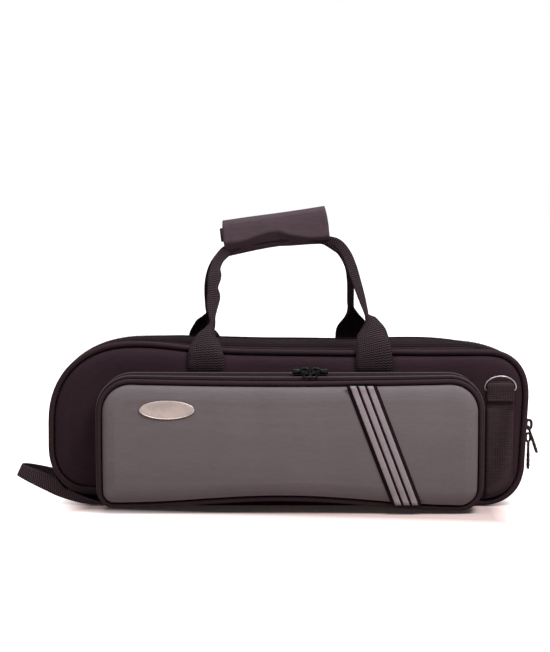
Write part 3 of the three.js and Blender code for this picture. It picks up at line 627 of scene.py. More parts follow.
# Section of the padded panel: inset, depth, share of the way to the spine
panel_rows_share = (1, 0.9, 0.78, 0.66, 0.54, 0.42, 0.31, 0.21, 0.12, 0.05)
panel_flat_inset = 24
panel_crown = 79.4
panel_unevenness = 0.45
lining_unevenness = 0.6
panel_swell = {"front": 2, "rear": 0}
panel_section = [(panel_flat_inset, panel_crown, share) for share in panel_rows_share] + [
    (panel_flat_inset, 79.2), (18.5, 78.6), (14, 77.7), (10.6, 76.3), (8.7, 74.7), (7.6, 72.4), (7, 69.5),
    (7, 66.5), (12, 65.5), (panel_flat_inset, 65.5, 0.3), (panel_flat_inset, 65.5, 1),
]
side_section = [
    (2.2, 69.4), (1.1, 68.2), (0.9, 66), (1.0, 58), (1.7, 46), (2.5, 33), (2.8, 24), (2.6, 19),
    (2.4, 15.2), (3.6, 15.2), (4.2, 40), (4.0, 69.4),
]
tape_section = [
    (3.0, 18.8), (1.5, 18.6), (1.0, 17.4), (0.8, 15.6), (1.0, 14.8), (0.2, 12), (-1.0, 8.6),
    (-2.0, 5.6), (-tape_rise, 3.6), (-1.6, 3.1), (1.6, 3.1), (3.0, 12),
]
base_section = [(0, 14.2), (0, 6), (0, 0.6), (1.4, 0.6), (1.4, 14.2)]
lining_face = [(panel_flat_inset, 62.2, share) for share in (1, 0.6, 0.2)]
lining_section = lining_face + [
    (panel_flat_inset, 62), (17, 60.5), (13.5, 54), (12.6, 30), (12.3, 4), (11.6, 1.8), (10, 1.0),
    (5, 1.0), (3.4, 1.6), (3.0, 3), (4.6, 14), (4.6, 62), (12, 64), (panel_flat_inset, 64, 0.4),
    (panel_flat_inset, 64, 1),
]
rim_section = [
    (4.6, 62), (4.6, 14), (3.0, 3), (3.4, 1.6), (5, 1.0), (8.6, 1.0), (9.8, 2), (10, 8), (10, 62),
]


def high_span(ring, floor_height):
    """The stretch of a ring that stays above a height, from its right foot over the top."""
    high = np.nonzero(ring[:, 2] > floor_height)[0]
    return slice(int(high[0]), int(high[-1]) + 1)


def resampled(where, reach, points):
    """Points at the given distances along a path."""
    return np.stack([np.interp(where, reach, points[:, k]) for k in range(3)], axis=-1)


def coil_object(name, ring, y_near, y_far, height):
    """A row of small teeth that follows the outline."""
    span = high_span(ring(0, y_near), zip_floor_height)
    base = ring(0, y_near)[span]
    tops = ring(-height, y_near)[span]
    reach = lengths_along(base)
    steps = int(reach[-1] / tooth_pitch) * 2
    where = np.linspace(0, reach[-1], steps)
    feet = resampled(where, reach, base)
    heads = resampled(where, reach, tops)
    rise = np.where(np.arange(steps) % 2 == 0, 1, short_tooth_share)[:, None]
    crown = feet + (heads - feet) * rise
    depth = np.array([0, y_far - y_near, 0])
    waist = feet + (crown - feet) * tooth_waist_share
    grid = np.stack([
        feet, waist, crown + depth * tooth_crown_share, crown + depth * (1 - tooth_crown_share),
        waist + depth, feet + depth,
    ], axis=1)
    return grid_object(name, grid, "zip_coil", caps=True)


def build_half(side, prefix, body):
    def half_skin(suffix, profile, look, slot, *nodes, **options):
        names = [f"{prefix}_{node}" for node in nodes]
        return skin(f"{prefix}_{suffix}", body_ring, profile, look, body, slot, *names, **options)

    section = mirrored(pillowed(panel_section, panel_swell[prefix]), side)
    panel = half_skin(
        "panel_skin", section, "cover_nylon", "cover_nylon", "panel_fabric", "panel_foam",
        closed=False, uneven=panel_unevenness,
    )
    welt = piping_section(piping_radius, side * (body_half_depth - piping_radius), piping_radius)
    half_skin("welt", welt, "piping_nylon", "piping", "piping")
    # The seam: a near-black cord, painted shade in the groove between the piping and the wall
    seam_inset, seam_depth, seam_radius = body_seam_shade
    seam = piping_section(seam_inset, side * seam_depth, seam_radius)
    half_skin("seam", seam, "seam_nylon", "cover_nylon")
    # The walls and the base are drawn in a darker copy of the cover nylon, painted shade
    section = mirrored(side_section, side)
    wall = half_skin(
        "side_skin", section, "side_nylon", "cover_nylon", "gusset_fabric", "gusset_foam",
    )
    span = high_span(body_ring(0, 0), zip_floor_height)
    half_skin("tape", mirrored(tape_section, side), "zip_tape", "zip_nylon", "zip_tape", span=span)
    coil = coil_object(
        f"{prefix}_coil", body_ring, side * coil_gap, side * coil_half_width, coil_height,
    )
    settle(coil, body, "zip_nylon", f"{prefix}_zip_coil")
    base = mirrored(base_section, side)
    half_skin("base_skin", base, "side_nylon", "cover_nylon", "bottom_fabric")
    return panel


front_panel = build_half(-1, "front", "front_shell")
rear_panel = build_half(1, "rear", "rear_shell")
lining = skin(
    "lid_lining", body_ring, mirrored(lining_section, -1), "plush_lining", "front_shell",
    "plush_lining", "front_lining", closed=False, uneven=lining_unevenness,
)
skin(
    "rear_rim", body_ring, mirrored(rim_section, 1), "plush_lining", "rear_shell", "plush_lining",
)


# Trumpet bed

bed_inset = 10.4
bed_depth = 64
bed_columns = 150
bed_rows = 52
bed_crowding_share = 0.25
bed_setback = 1.2
bed_edge_drop = 3
bell = {"mouth": 243, "throat": 50, "radius": 62, "throat_radius": 14, "axis": 88}
bell_share = (0, 0.05, 0.13, 0.24, 0.4, 0.62, 1)
wells = (
    {"left": -150, "right": 72, "low": 48, "high": 138, "depth": 32},
    {"left": -45, "right": 60, "low": 20, "high": 158, "depth": 28},
    {"left": -243, "right": -140, "low": 98, "high": 124, "depth": 15},
)
mouthpiece_holes = ({"x": -226, "z": 52}, {"x": -190, "z": 52})
mouthpiece_radius = 13
mouthpiece_depth = 48
edge_softness = 5


def bed_surface(x, z):
    """Depth of the bed's face behind the zip plane."""
    depth = np.zeros_like(x)
    for well in wells:
        reach = np.minimum.reduce([
            x - well["left"], well["right"] - x, z - well["low"], well["high"] - z,
        ])
        depth = np.maximum(depth, well["depth"] * smoothstep(reach / edge_softness))
    along = (x - bell["throat"]) / (bell["mouth"] - bell["throat"])
    flare = np.interp(along, np.linspace(0, 1, len(bell_share)), bell_share)
    radius = bell["throat_radius"] + (bell["radius"] - bell["throat_radius"]) * flare
    inside = np.clip(radius**2 - (z - bell["axis"]) ** 2, 0, None)
    ends = smoothstep((bell["mouth"] - x) / edge_softness)
    ends = ends * smoothstep((x - bell["throat"]) / edge_softness)
    depth = np.maximum(depth, np.sqrt(inside) * ends)
    for hole in mouthpiece_holes:
        away = np.hypot(x - hole["x"], z - hole["z"])
        sunk = smoothstep((mouthpiece_radius - away) / edge_softness)
        depth = np.maximum(depth, mouthpiece_depth * sunk)
    return depth


def edge_heights(points, xs):
    """Heights of part of an outline at the given places along X."""
    points = points[np.argsort(points[:, 0])]
    return np.interp(xs, points[:, 0], points[:, 2])


def bed_face():
    """The bed's face as a grid of points, closer together towards its two ends."""
    line = body_ring(bed_inset, body_half_depth / 2)
    left, right = line[:, 0].min(), line[:, 0].max()
    shares = (1 - np.cos(np.linspace(0, math.pi, bed_columns + 1))) / 2
    even = np.linspace(0, 1, bed_columns + 1)
    xs = left + (right - left) * (even + (shares - even) * bed_crowding_share)
    is_high = line[:, 2] >= body_spine[0][1]
    low = edge_heights(line[~is_high], xs)
    high = edge_heights(line[is_high], xs)
    up = np.linspace(0, 1, bed_rows + 1)[:, None]
    x = np.repeat(xs[None, :], bed_rows + 1, axis=0)
    z = low[None, :] + (high - low)[None, :] * up
    edge = np.minimum.reduce([
        x - left, right - x, z - low[None, :], high[None, :] - z,
    ])
    drop = bed_edge_drop * (1 - smoothstep(edge / edge_softness))
    return np.stack([x, bed_setback + bed_surface(x, z) + drop, z], axis=2)


def build_bed():
    face = bed_face()
    back = face.copy()
    back[:, :, 1] = bed_depth
    rows, columns = face.shape[:2]
    count = rows * columns
    faces = grid_faces(rows, columns, False, False)
    faces += [tuple(i + count for i in reversed(quad)) for quad in faces]
    border = list(range(columns))
    border += [r * columns + columns - 1 for r in range(1, rows)]
    border += [(rows - 1) * columns + c for c in range(columns - 2, -1, -1)]
    border += [r * columns for r in range(rows - 2, 0, -1)]
    for here, there in zip(border, border[1:] + border[:1]):
        faces.append((here, here + count, there + count, there))
    points = np.concatenate([face.reshape(-1, 3), back.reshape(-1, 3)])
    bed = new_object("plush_bed", points, faces, "plush_lining")
    turn_outwards(bed)
    settle(bed, "rear_shell", "plush_lining", "trumpet_bed")


build_bed()


# Pocket

pocket_crown = 127.2
pocket_flat_inset = 20
pocket_unevenness = 0.3
pocket_panel_section = [(pocket_flat_inset, pocket_crown, share) for share in panel_rows_share] + [
    (pocket_flat_inset, 126.8), (15.5, 126.1), (12, 124.9), (9.8, 123.4), (8.4, 121.4), (7.6, 118.6),
    (7.4, 116), (10, 113.6), (pocket_flat_inset, 113.6, 0.3), (pocket_flat_inset, 113.6, 1),
]
pocket_side_rear = [(1.8, 76), (0.9, 79), (0.8, 82), (1.0, 91.5), (2.4, 91.5), (2.6, 76)]
pocket_side_front = [(1.9, 116.4), (1.0, 114.5), (0.5, 111), (0.4, 104.3), (1.8, 104.3), (2.4, 116.4)]
pocket_tape_rear = [(1.8, 92.8), (0.2, 92.6), (-0.4, 93.2), (-0.8, 95.0), (-0.7, 95.6), (1.8, 95.6)]
pocket_tape_front = [
    (1.8, 103.6), (0.2, 103.4), (-0.4, 102.8), (-0.8, 101), (-0.7, 100.4), (1.8, 100.4),
]
pocket_coil_height = 1.8
pocket_coil_width = 2.4
# Thin cords along both edges of the pocket's zip, in a lighter copy of the nylon: a painted highlight on the
# ridges there
binding_radius = 1.1
binding_inset = 0.1
# For each side of the pocket's zip: its body, the binding's depth, the way from the zip, and the
# sections of the side and the tape
pocket_edges = {
    "rear": ("front_shell", -82, 1, pocket_side_rear, pocket_tape_rear),
    "front": ("pocket_flap", -105.6, -1, pocket_side_front, pocket_tape_front),
}


def build_pocket():
    panel = skin(
        "pocket_panel_skin", pocket_ring, mirrored(pocket_panel_section, -1), "pocket_nylon",
        "pocket_flap", "pocket_nylon", "pocket_panel_fabric", "pocket_panel_foam",
        closed=False, uneven=pocket_unevenness,
    )
    radius = pocket_piping_radius
    welt = piping_section(pocket_piping_inset, radius - pocket_front, radius)
    # A near-black cord behind the pocket's piping: painted shade in the groove there, along its seam
    seam = piping_section(*pocket_seam_shade)
    skin("pocket_welt", pocket_ring, welt, "piping_nylon", "pocket_flap", "piping", "pocket_piping")
    skin("pocket_seam_shade", pocket_ring, seam, "seam_nylon", "pocket_flap", "cover_nylon")
    span = high_span(pocket_ring(0, -pocket_zip), zip_floor_height)
    for word, (body, depth, sense, side, tape) in pocket_edges.items():
        edge = piping_section(binding_inset, depth, binding_radius)
        skin(f"pocket_binding_{word}", pocket_ring, edge, "binding_nylon", body, "cover_nylon")
        # The pocket's sides use the same darker copy of the nylon, painted shade
        skin(
            f"pocket_side_{word}", pocket_ring, mirrored(side, -1), "side_nylon", body,
            "cover_nylon", f"pocket_{word}_gusset",
        )
        skin(
            f"pocket_tape_{word}", pocket_ring, mirrored(tape, -1), "zip_tape", body,
            "zip_nylon", f"pocket_{word}_zip", span=span,
        )
        coil = coil_object(
            f"pocket_coil_{word}", pocket_ring, sense * coil_gap - pocket_zip,
            sense * pocket_coil_width - pocket_zip, pocket_coil_height,
        )
        settle(coil, body, "zip_nylon")
    return panel


pocket_panel = build_pocket()

# How far off the bag a ray towards one of its faces starts
ray_start = 1000


def surface_finder(obj, side):
    """A function that gives the depth of a piece's outer face at an X and Z."""
    vertices = [vertex.co.copy() for vertex in obj.data.vertices]
    tree = BVHTree.FromPolygons(vertices, [tuple(p.vertices) for p in obj.data.polygons])

    def depth_at(x, z):
        hit = tree.ray_cast(Vector((x * mm, side * ray_start * mm, z * mm)), Vector((0, -side, 0)))
        return hit[0].y * metre if hit[0] is not None else side * body_half_depth
    return depth_at


pocket_depth_at = surface_finder(pocket_panel, -1)
front_depth_at = surface_finder(front_panel, -1)
rear_depth_at = surface_finder(rear_panel, 1)

# Ribbon and its lines
ribbon_top = {"x": 79.9, "z": 144.2}
ribbon_bottom = {"x": 130.8, "z": 11.2}
ribbon_floor = -123
ribbon_width = 33.8
ribbon_samples = 34
ribbon_steps = 5
ribbon_lift = 0.7
stripe_width = 6.6
stripe_pitch = 9.4
stripe_lift = 0.45
stripe_count = 3


def slanted_strip(name, offset, width, lift, look):
    """A flat strip that follows the pocket's face from its top edge to its bottom edge."""
    across = np.linspace(-width / 2, width / 2, ribbon_steps)
    rows, uvs = [], []
    for share in np.linspace(0, 1, ribbon_samples):
        x = ribbon_top["x"] + (ribbon_bottom["x"] - ribbon_top["x"]) * share + offset
        z = ribbon_top["z"] + (ribbon_bottom["z"] - ribbon_top["z"]) * share
        depths = [min(pocket_depth_at(x + a, z), ribbon_floor) for a in across]
        tops = [(x + a, depth - lift, z) for a, depth in zip(across, depths)]
        feet = [(x + a, depth + lift, z) for a, depth in zip(across, depths)]
        rows.append(tops + feet[::-1])
        uvs.append([(a, share * ribbon_top["z"]) for a in (*across, *across[::-1])])
    return grid_object(name, np.array(rows), look, caps=True, uvs=np.array(uvs))


def build_ribbon():
    band = slanted_strip("pocket_ribbon", 0, ribbon_width, ribbon_lift, "ribbon")
    settle(band, "pocket_flap", "webbing", "stripe_ribbon")
    for number in range(stripe_count):
        offset = (number - stripe_count // 2) * stripe_pitch
        name = f"pocket_stripe_{number + 1}"
        line = slanted_strip(name, offset, stripe_width, ribbon_lift + stripe_lift, "stripe_thread")
        settle(line, "pocket_flap", "stripe_thread", f"stripe_line_{number + 1}")


build_ribbon()

# Badge: a domed oval with a raised rim, left bare
badge_centre = (-134, 118)
badge_size = (61, 20.8)
badge_steps = 72
# Shares of the badge's half size, with the rise of its face there
badge_section = [
    (1.0, 0), (1.01, 0.9), (0.995, 1.7), (0.965, 2.1), (0.935, 2.0), (0.91, 1.55), (0.86, 1.5),
    (0.6, 1.95), (0.3, 2.2), (0.01, 2.3),
]


def build_badge():
    base = pocket_depth_at(*badge_centre)
    angles = full_turn * np.arange(badge_steps) / badge_steps
    rows = []
    for share, rise in badge_section:
        x = badge_centre[0] + badge_size[0] / 2 * share * np.cos(angles)
        z = badge_centre[1] + badge_size[1] / 2 * share * np.sin(angles)
        rows.append(np.stack([x, np.full(badge_steps, base - rise), z], axis=1))
    oval = grid_object("pocket_badge", np.array(rows), "badge_metal", caps=True)
    settle(oval, "pocket_flap", "badge_metal", "badge_plate")


build_badge()


# Webbing

section_steps = 11
section_shares = np.linspace(-1, 1, section_steps)
edge_share = 0.9
edge_thickness_share = 0.55


def band_grid(places, acrosses, throughs, bows):
    """Closed sections of a band: rounded edges, and bowed across by the given amounts."""
    halves = np.where(np.abs(section_shares) < edge_share, 1, edge_thickness_share) / 2
    rows = []
    for place, across, through, bow in zip(places, acrosses, throughs, bows):
        back = through / np.linalg.norm(through) * bow
        middle = [place + across / 2 * s - back * s * s for s in section_shares]
        top = [point + through * half for point, half in zip(middle, halves)]
        foot = [point - through * half for point, half in zip(middle, halves)]
        rows.append(top + foot[::-1])
    return np.array(rows)


def band_uvs(places, widths, skews):
    """Places on the weave: across in X and along in Y, with the ribs slanted by the skews."""
    both = np.concatenate([section_shares, section_shares[::-1]])
    u = widths[:, None] / 2 * both[None, :]
    v = lengths_along(places)[:, None] + u * skews[:, None]
    return np.stack([u, v], axis=2)


def band_object(name, stations, samples, look, side):
    """A band through stations of X, depth, Z, width, thickness, bow and slant of its ribs."""
    values = spline(stations, samples)
    places = values[:, :3]
    widths, thicknesses, bows, skews = values[:, 3:].T
    tangents = unit_rows(np.gradient(places, axis=0))
    acrosses = unit_rows(np.cross(np.array([0, side, 0]), tangents))
    throughs = np.cross(tangents, acrosses)
    grid = band_grid(places, acrosses * widths[:, None], throughs * thicknesses[:, None], bows)
    return grid_object(name, grid, look, caps=True, uvs=band_uvs(places, widths, skews))


# Grip frame
grip_centre = np.array([-15, 0, 306])
grip_length = 124
grip_tilt = math.radians(7)


def grip_point(x, y, z):
    c, s = math.cos(grip_tilt), math.sin(grip_tilt)
    return grip_centre + np.array([x * c - z * s, y, x * s + z * c])


# Stations of the four legs, from the sewn foot up to the grip: X, depth, Z, width, thickness,
# how far the edges fold back, and the slant of the ribs. Zeros at the end of a row are left off
handle_legs = {
    "front_left": [
        (-92.9, -78.2, 151.5, 41, 2), (-92.9, -80.6, 160, 41, 2), (-92.9, -81.2, 168, 40.5, 2, 0.6, 0.05),
        (-92.8, -81.0, 176, 39.5, 2, 1.6, 0.12), (-92.0, -78.4, 184.5, 35, 2.2, 4, 0.25),
        (-90.6, -73, 194, 26, 2.6, 6.5, 0.35), (-87.6, -65.5, 202.2, 13, 4, 6, 0.35),
        (-85.8, -61, 207.4, 7, 6, 2, 0.2), (-86.4, -57, 214.5, 8, 5, 0.5), (-86.2, -50, 226, 13.4, 4.4),
        (-84.8, -45, 236, 15, 4.2), (-86.0, -40, 246, 12.6, 4.4), (-84.0, -33, 258, 15.4, 4.4),
        (-83.4, -24, 267, 11.8, 4.4), (-79.4, -15, 276.5, 12, 4.4), (-72.5, -9, 284.2, 13, 4.4),
    ],
    "front_right": [
        (96.6, -78.2, 151.5, 41.4, 2), (96.6, -80.6, 159, 41.4, 2), (96.4, -81.2, 168, 41, 2, 0.4, 0.05),
        (95.8, -80.8, 179, 39.2, 2, 1.8, 0.12), (94.8, -77, 191, 37, 2.2, 4, 0.2),
        (94.0, -70, 202, 31.5, 2.4, 7, 0.3), (91.9, -63, 210.5, 19, 3.4, 7, 0.35),
        (88.9, -58.5, 215.6, 5.6, 6, 2, 0.2), (87.4, -54, 221, 5.6, 5, 0.5), (83.6, -46, 234, 8.4, 4.6),
        (79, -36, 249, 10.2, 4.4), (73, -24, 267.5, 12, 4.4), (66.4, -14, 283.4, 11.4, 4.4),
        (56.4, -8, 294.6, 10.6, 4.4),
    ],
    "rear_left": [
        (-97.5, 79.4, 9, 40, 2), (-97.5, 82.2, 30, 40, 2), (-97.5, 82.4, 95, 40, 2),
        (-97.8, 81.6, 160, 40, 2), (-102.6, 80.6, 174, 34, 2, 1), (-103.4, 77, 183, 29, 2.2, 4),
        (-101.4, 71, 192.5, 20, 2.6, 6), (-95.8, 65, 200, 14, 4, 5), (-92.6, 61, 206, 11, 6, 2),
        (-94.2, 54, 217, 9, 4.8), (-93.8, 43, 238, 10.4, 4.6), (-91.6, 33, 254, 10.2, 4.6),
        (-86.6, 24, 267.5, 10, 4.6), (-79, 17, 278, 10.4, 4.6), (-71.5, 12, 284.5, 12, 4.6),
    ],
    "rear_right": [
        (77.6, 79.4, 9, 40, 2), (77.6, 82.2, 30, 40, 2), (77.6, 82.4, 95, 40, 2), (77.6, 81.6, 160, 40, 2),
        (77.8, 80.4, 176, 40, 2, 1), (77.8, 75, 188, 38.6, 2.2, 4), (77.4, 68, 198.5, 31, 2.6, 6),
        (76.4, 61, 207.5, 17, 3.6, 6), (75.4, 56, 213.6, 8.4, 5, 2), (74.8, 51, 222, 8.2, 4.8),
        (74.2, 38, 246, 8.6, 4.6), (71.4, 25, 266, 10, 4.6), (63.5, 15, 282, 11, 4.6),
        (56.5, 11, 289, 12, 4.6),
    ],
}
station_size = 7
# Route of a strap inside the grip: share of its half length, and height in the grip's own frame
inside_route_share = ((-0.86, -11.5), (-0.6, -7), (0, -5), (0.6, -9), (0.86, -14.4))
inside_width = 10.6
inside_thickness = 4.4
strap_inner_depth = 7
handle_samples = 260


def build_handle(word, side):
    depth = side * strap_inner_depth
    inside = [
        (*grip_point(share * grip_length / 2, depth, z), inside_width, inside_thickness)
        for share, z in inside_route_share
    ]
    stations = handle_legs[f"{word}_left"] + inside + handle_legs[f"{word}_right"][::-1]
    stations = [(*row, *[0] * (station_size - len(row))) for row in stations]
    strap = band_object(f"{word}_handle_webbing", stations, handle_samples, "webbing", side)
    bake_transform(strap)
    settle(
        strap, None, "webbing", f"{word}_web_left", f"{word}_web_right", f"{word}_handle_strap",
    )


build_handle("front", -1)
build_handle("rear", 1)


# Stitches

stitch_length = 2.2
stitch_pitch = 3.2
stitch_radius = 0.32
stitch_sides = 6


def stitch_row(name, places, outwards, body):
    """A row of short threads along a path, each sunk by half into the cloth."""
    places = np.asarray(places, float)
    outwards = np.asarray(outwards, float)
    reach = lengths_along(places)
    vertices, faces = [], []
    for number in range(int(reach[-1] / stitch_pitch)):
        middle = (number + half_share) * stitch_pitch
        where = np.array([middle - stitch_length / 2, middle, middle + stitch_length / 2])
        near, centre, far = resampled(where, reach, places)
        out = resampled(middle, reach, outwards)
        out /= np.linalg.norm(out)
        along = (far - near) / np.linalg.norm(far - near)
        beside = np.cross(along, out)
        first = len(vertices)
        vertices += [near, far]
        for i in range(stitch_sides):
            angle = full_turn * i / stitch_sides
            vertices.append(centre + stitch_radius * (math.cos(angle) * out + math.sin(angle) * beside))
            here = first + 2 + i
            there = first + 2 + (i + 1) % stitch_sides
            faces += [(first, here, there), (first + 1, there, here)]
    row = new_object(name, vertices, faces, "thread")
    turn_outwards(row)
    settle(row, body, "stripe_thread")


# Grip wrap

wrap_wall = 3.2
wrap_rows = 44
wrap_ends = (-58.6, 60.8)
wrap_bulge = 1.6
wrap_depth = 15.5
wrap_gap = 0.25
# Along the grip, in shares of its length: its top, the ridge where its face turns under, and its foot
wrap_places_share = (0, 0.1, 0.2, 0.3, 0.42, 0.52, 0.62, 0.8, 0.9, 1)
wrap_tops = (20.8, 21, 21.3, 21.5, 21.6, 21.7, 21.9, 22.4, 22.8, 23.2)
wrap_ridges = (-4.7, -4.9, -4.4, -1.4, 1.4, 2.0, -4.0, -10, -11, -11)
wrap_feet = (-20.7, -19.6, -18.4, -17.3, -16.4, -16.1, -17.2, -18.2, -19.2, -20.8)
# Round its outside: share of its depth, level from the top (0) by the ridge (1) to the foot (2),
# and the rise over that level
wrap_outside = (
    (0, 0, 0), (0.35, 0, 0.4), (0.66, 0, -0.9), (0.84, 0, -4.5), (0.91, 1 / 3, 0), (0.97, 1, 3.4),
    (1, 1, 0.5), (0.95, 1, -0.6), (0.64, 1.5, 1), (0.38, 2, 2.6), (0.26, 2, 0.5), (0.13, 2, 0),
    (0, 2, 0.2),
)
# Round its inside: share of its depth, walls in from there, share of the way from the middle to
# the top (or to the foot, below zero), walls in from there, and the rise
wrap_inside = (
    (0, 0, -1, 1, 0), (0.4, 0, -1, 1, 0.6), (1, 2, -0.5, 0, 0), (1, 1, 0, 0, 0), (1, 1, 0.5, 0, 0),
    (0.5, 0, 1, -1, -0.9), (0, 0, 1, -1, 0),
)


def wrap_section(side, share):
    """Section of half the sleeve across the grip, in its own Y and Z, at a share of its length."""
    top, ridge, foot = (
        np.interp(share, wrap_places_share, heights) for heights in (wrap_tops, wrap_ridges, wrap_feet)
    )
    if side > 0:
        ridge = (top + foot) / 2
    section = []
    for reach, level, rise in wrap_outside:
        z = np.interp(level, range(3), (top, ridge, foot)) + rise
        section.append((side * max(wrap_depth * reach, wrap_gap), z))
    for reach, walls_in, high, walls_up, rise in wrap_inside:
        z = high * top if high > 0 else -high * foot
        y = wrap_depth * reach - walls_in * wrap_wall
        section.append((side * max(y, wrap_gap), z + walls_up * wrap_wall + rise))
    return section


def wrap_place(share, z):
    """The place along the grip of a share of its length, with bulging ends."""
    x = wrap_ends[0] + (wrap_ends[1] - wrap_ends[0]) * share
    return x + wrap_bulge * (2 * share - 1) * (1 - (z / wrap_tops[0]) ** 2)


def build_wrap(name, side, body, node):
    rows = []
    for i in range(wrap_rows + 1):
        share = i / wrap_rows
        rows.append([grip_point(wrap_place(share, z), y, z) for y, z in wrap_section(side, share)])
    wrap = grid_object(name, np.array(rows), "wrap_nylon", caps=True)
    settle(wrap, body, "cover_nylon", node)


build_wrap("grip_front_wrap", -1, "grip_wrap", "grip_flap")
build_wrap("grip_rear_wrap", 1, "rear_handle", "grip_back")

wrap_seam_shares = (0.065, 0.955)
wrap_seam_rows = slice(3, 9)


def build_wrap_stitches():
    """The seams down both ends of the flap."""
    path = []
    for share, order in zip(wrap_seam_shares, (-1, 1)):
        for y, z in wrap_section(-1, share)[wrap_seam_rows][::order]:
            path.append(grip_point(wrap_place(share, z), y - stitch_radius / 2, z))
    stitch_row("grip_stitches", path, [(0, -1, 0)] * len(path), "grip_wrap")


build_wrap_stitches()

# The corner of the inner layer that shows at the grip's left end
tab_bevel_share = 1 / 3
grip_tab = {"left": -63.4, "right": -50, "low": -3.4, "high": 12.6, "near": 1.5, "far": 4.2}


def build_grip_tab():
    left, right, low, high, near, far = grip_tab.values()
    inset = (far - near) * tab_bevel_share
    rows = []
    for x, shrink in ((left, inset), (left + inset, 0), (right, 0)):
        ys = (near + shrink / 2, far - shrink / 2)
        zs = (low + shrink, high - shrink)
        rows.append([grip_point(x, ys[i], zs[k]) for i, k in ((0, 0), (1, 0), (1, 1), (0, 1))])
    tab = grid_object("grip_tab", np.array(rows), "wrap_nylon", caps=True)
    settle(tab, "rear_handle", "cover_nylon")


build_grip_tab()

grip_strip = {"half_length": 47, "height": 5, "width": 12, "thickness": 1.2, "samples": 24}
# Body, node and depth of each strip
grip_strips = {
    "grip_hook_band": ("grip_wrap", "grip_hook_strip", -10.4),
    "grip_loop_band": ("front_handle", "grip_loop_strip", -9),
}


def build_grip_strip(name, body, node, depth):
    """A strip of hook or loop along the inside of the grip."""
    half, height, width, thickness, samples = grip_strip.values()
    stations = [
        (*grip_point(x, depth, height), width, thickness, 0, 0) for x in (-half, 0, half)
    ]
    strip = band_object(name, stations, samples, "hook_and_loop", -1)
    settle(strip, body, "hook_and_loop", node)


for name, values in grip_strips.items():
    build_grip_strip(name, *values)


# Rings and their webs

ring_half = 17.6
ring_rise = 16.6
ring_wire = 0.75
ring_corner = 3
ring_straight = 3.4
ring_bar_height = 133.2
ring_bar_depth = 80
ring_lean = 4
ring_steps = 10
front_ring_x = 238
rear_ring_x = -226


def ring_line():
    """The D of a ring, from the left end of its bar, in X and height."""
    reach = ring_half - ring_corner
    small = (ring_corner, ring_corner)
    bow = (ring_half, ring_rise - ring_straight)
    return np.concatenate([
        run((-reach, 0), (reach, 0), ring_steps),
        arc((reach, ring_corner), small, -quarter_turn, ring_steps),
        arc((0, ring_straight), bow, 0, 2 * ring_steps)[1:],
        arc((0, ring_straight), bow, quarter_turn, 2 * ring_steps)[1:],
        arc((-reach, ring_corner), small, math.pi, ring_steps)[1:],
    ])


def build_ring(name, x, side, body, node):
    line = ring_line()
    ahead = ring_ahead(line)
    out = unit_rows(np.stack([ahead[:, 1], -ahead[:, 0]], axis=1))
    rows = []
    for i in range(piping_sides):
        angle = full_turn * i / piping_sides
        flat = line + out * ring_wire * math.cos(angle)
        lean = ring_lean * np.clip(flat[:, 1] / ring_rise, 0, 1)
        depth = side * (ring_bar_depth + lean) + ring_wire * math.sin(angle)
        rows.append(np.stack([x + flat[:, 0], depth, ring_bar_height + flat[:, 1]], axis=1))
    ring = grid_object(name, np.array(rows), "nickel", wrap_rows=True)
    settle(ring, body, "nickel", node)


build_ring("front_d_ring_wire", front_ring_x, -1, "front_d_ring", "front_ring")
build_ring("rear_d_ring_wire", rear_ring_x, 1, "rear_d_ring", "rear_ring")

ring_web_width = 31
ring_web_thickness = 1.7
ring_web_depth = 80.8
drape_start = 112
# Depth from the zip plane and height of a ring's web, over the bar and down to its end, and how
# much narrower it is drawn there
ring_web_fold = (
    (ring_web_depth, drape_start, 0), (80.6, 122, 0), (79.4, 127.5, 0), (76.8, 131, 0), (76.0, 136, 0),
    (76.6, 140.6, 1), (78.6, 142.4, 2.4), (81.0, 142.0, 2.4), (82.6, 139.2, 1), (82.9, 134.5, 0),
    (82.9, 129, 0), (83.2, 124.5, 0), (83.3, 121.2, 0),
)
ring_web_samples = 100
ring_web_climb_steps = 12
ring_web_feet = {"front": 9, "rear": 34}
ring_web_seam_inset = 10
ring_stitch_half = 14
ring_stitch_depth = 84.1
ring_stitch_height = 123.4
ring_stitch_stops = 9


def seam_height(x):
    """Height of the seam between the panel and the lower piping at an X."""
    lower = front_outline.points - front_outline.outward * ring_web_seam_inset
    lower = lower[front_outline.outward[:, 1] < 0]
    order = np.argsort(lower[:, 0])
    return float(np.interp(x, lower[order, 0], lower[order, 1]))


def build_ring_web(word, x, side, depth_at):
    """Webbing sewn up the panel, folded over the ring's bar and sewn down again."""
    climb = np.linspace(ring_web_feet[word], drape_start, ring_web_climb_steps)[:-1]
    stations = [(side * ring_web_depth, z, ring_web_width) for z in climb]
    stations += [(side * y, z, ring_web_width - drawn) for y, z, drawn in ring_web_fold]
    values = spline([(x, *station) for station in stations], ring_web_samples)
    places, widths = values[:, :3], values[:, 3]
    tangents = unit_rows(np.gradient(places, axis=0))
    across = np.tile(np.array([1, 0, 0]), (len(places), 1))
    throughs = np.cross(tangents, across) * ring_web_thickness
    still = np.zeros(len(places))
    grid = band_grid(places, across * widths[:, None], throughs, still)
    for place, section in list(zip(places, grid))[:len(places) // 2 + 1]:
        if place[2] > drape_start:
            continue
        for point in section:
            lift = abs(point[1]) - abs(place[1])
            point[2] = max(point[2], seam_height(point[0]))
            point[1] = depth_at(point[0], point[2]) + side * (ring_web_thickness / 2 + lift)
    name = f"{word}_ring_strap"
    body = f"{word}_shell"
    web = grid_object(name, grid, "ring_webbing", caps=True, uvs=band_uvs(places, widths, still))
    settle(web, body, "webbing", f"{word}_ring_web")
    stops = np.linspace(-ring_stitch_half, ring_stitch_half, ring_stitch_stops)
    stitches = [(x + a, side * ring_stitch_depth, ring_stitch_height) for a in stops]
    stitch_row(f"{name}_stitches", stitches, [(0, side, 0)] * len(stops), body)


build_ring_web("front", front_ring_x, -1, front_depth_at)
build_ring_web("rear", rear_ring_x, 1, rear_depth_at)
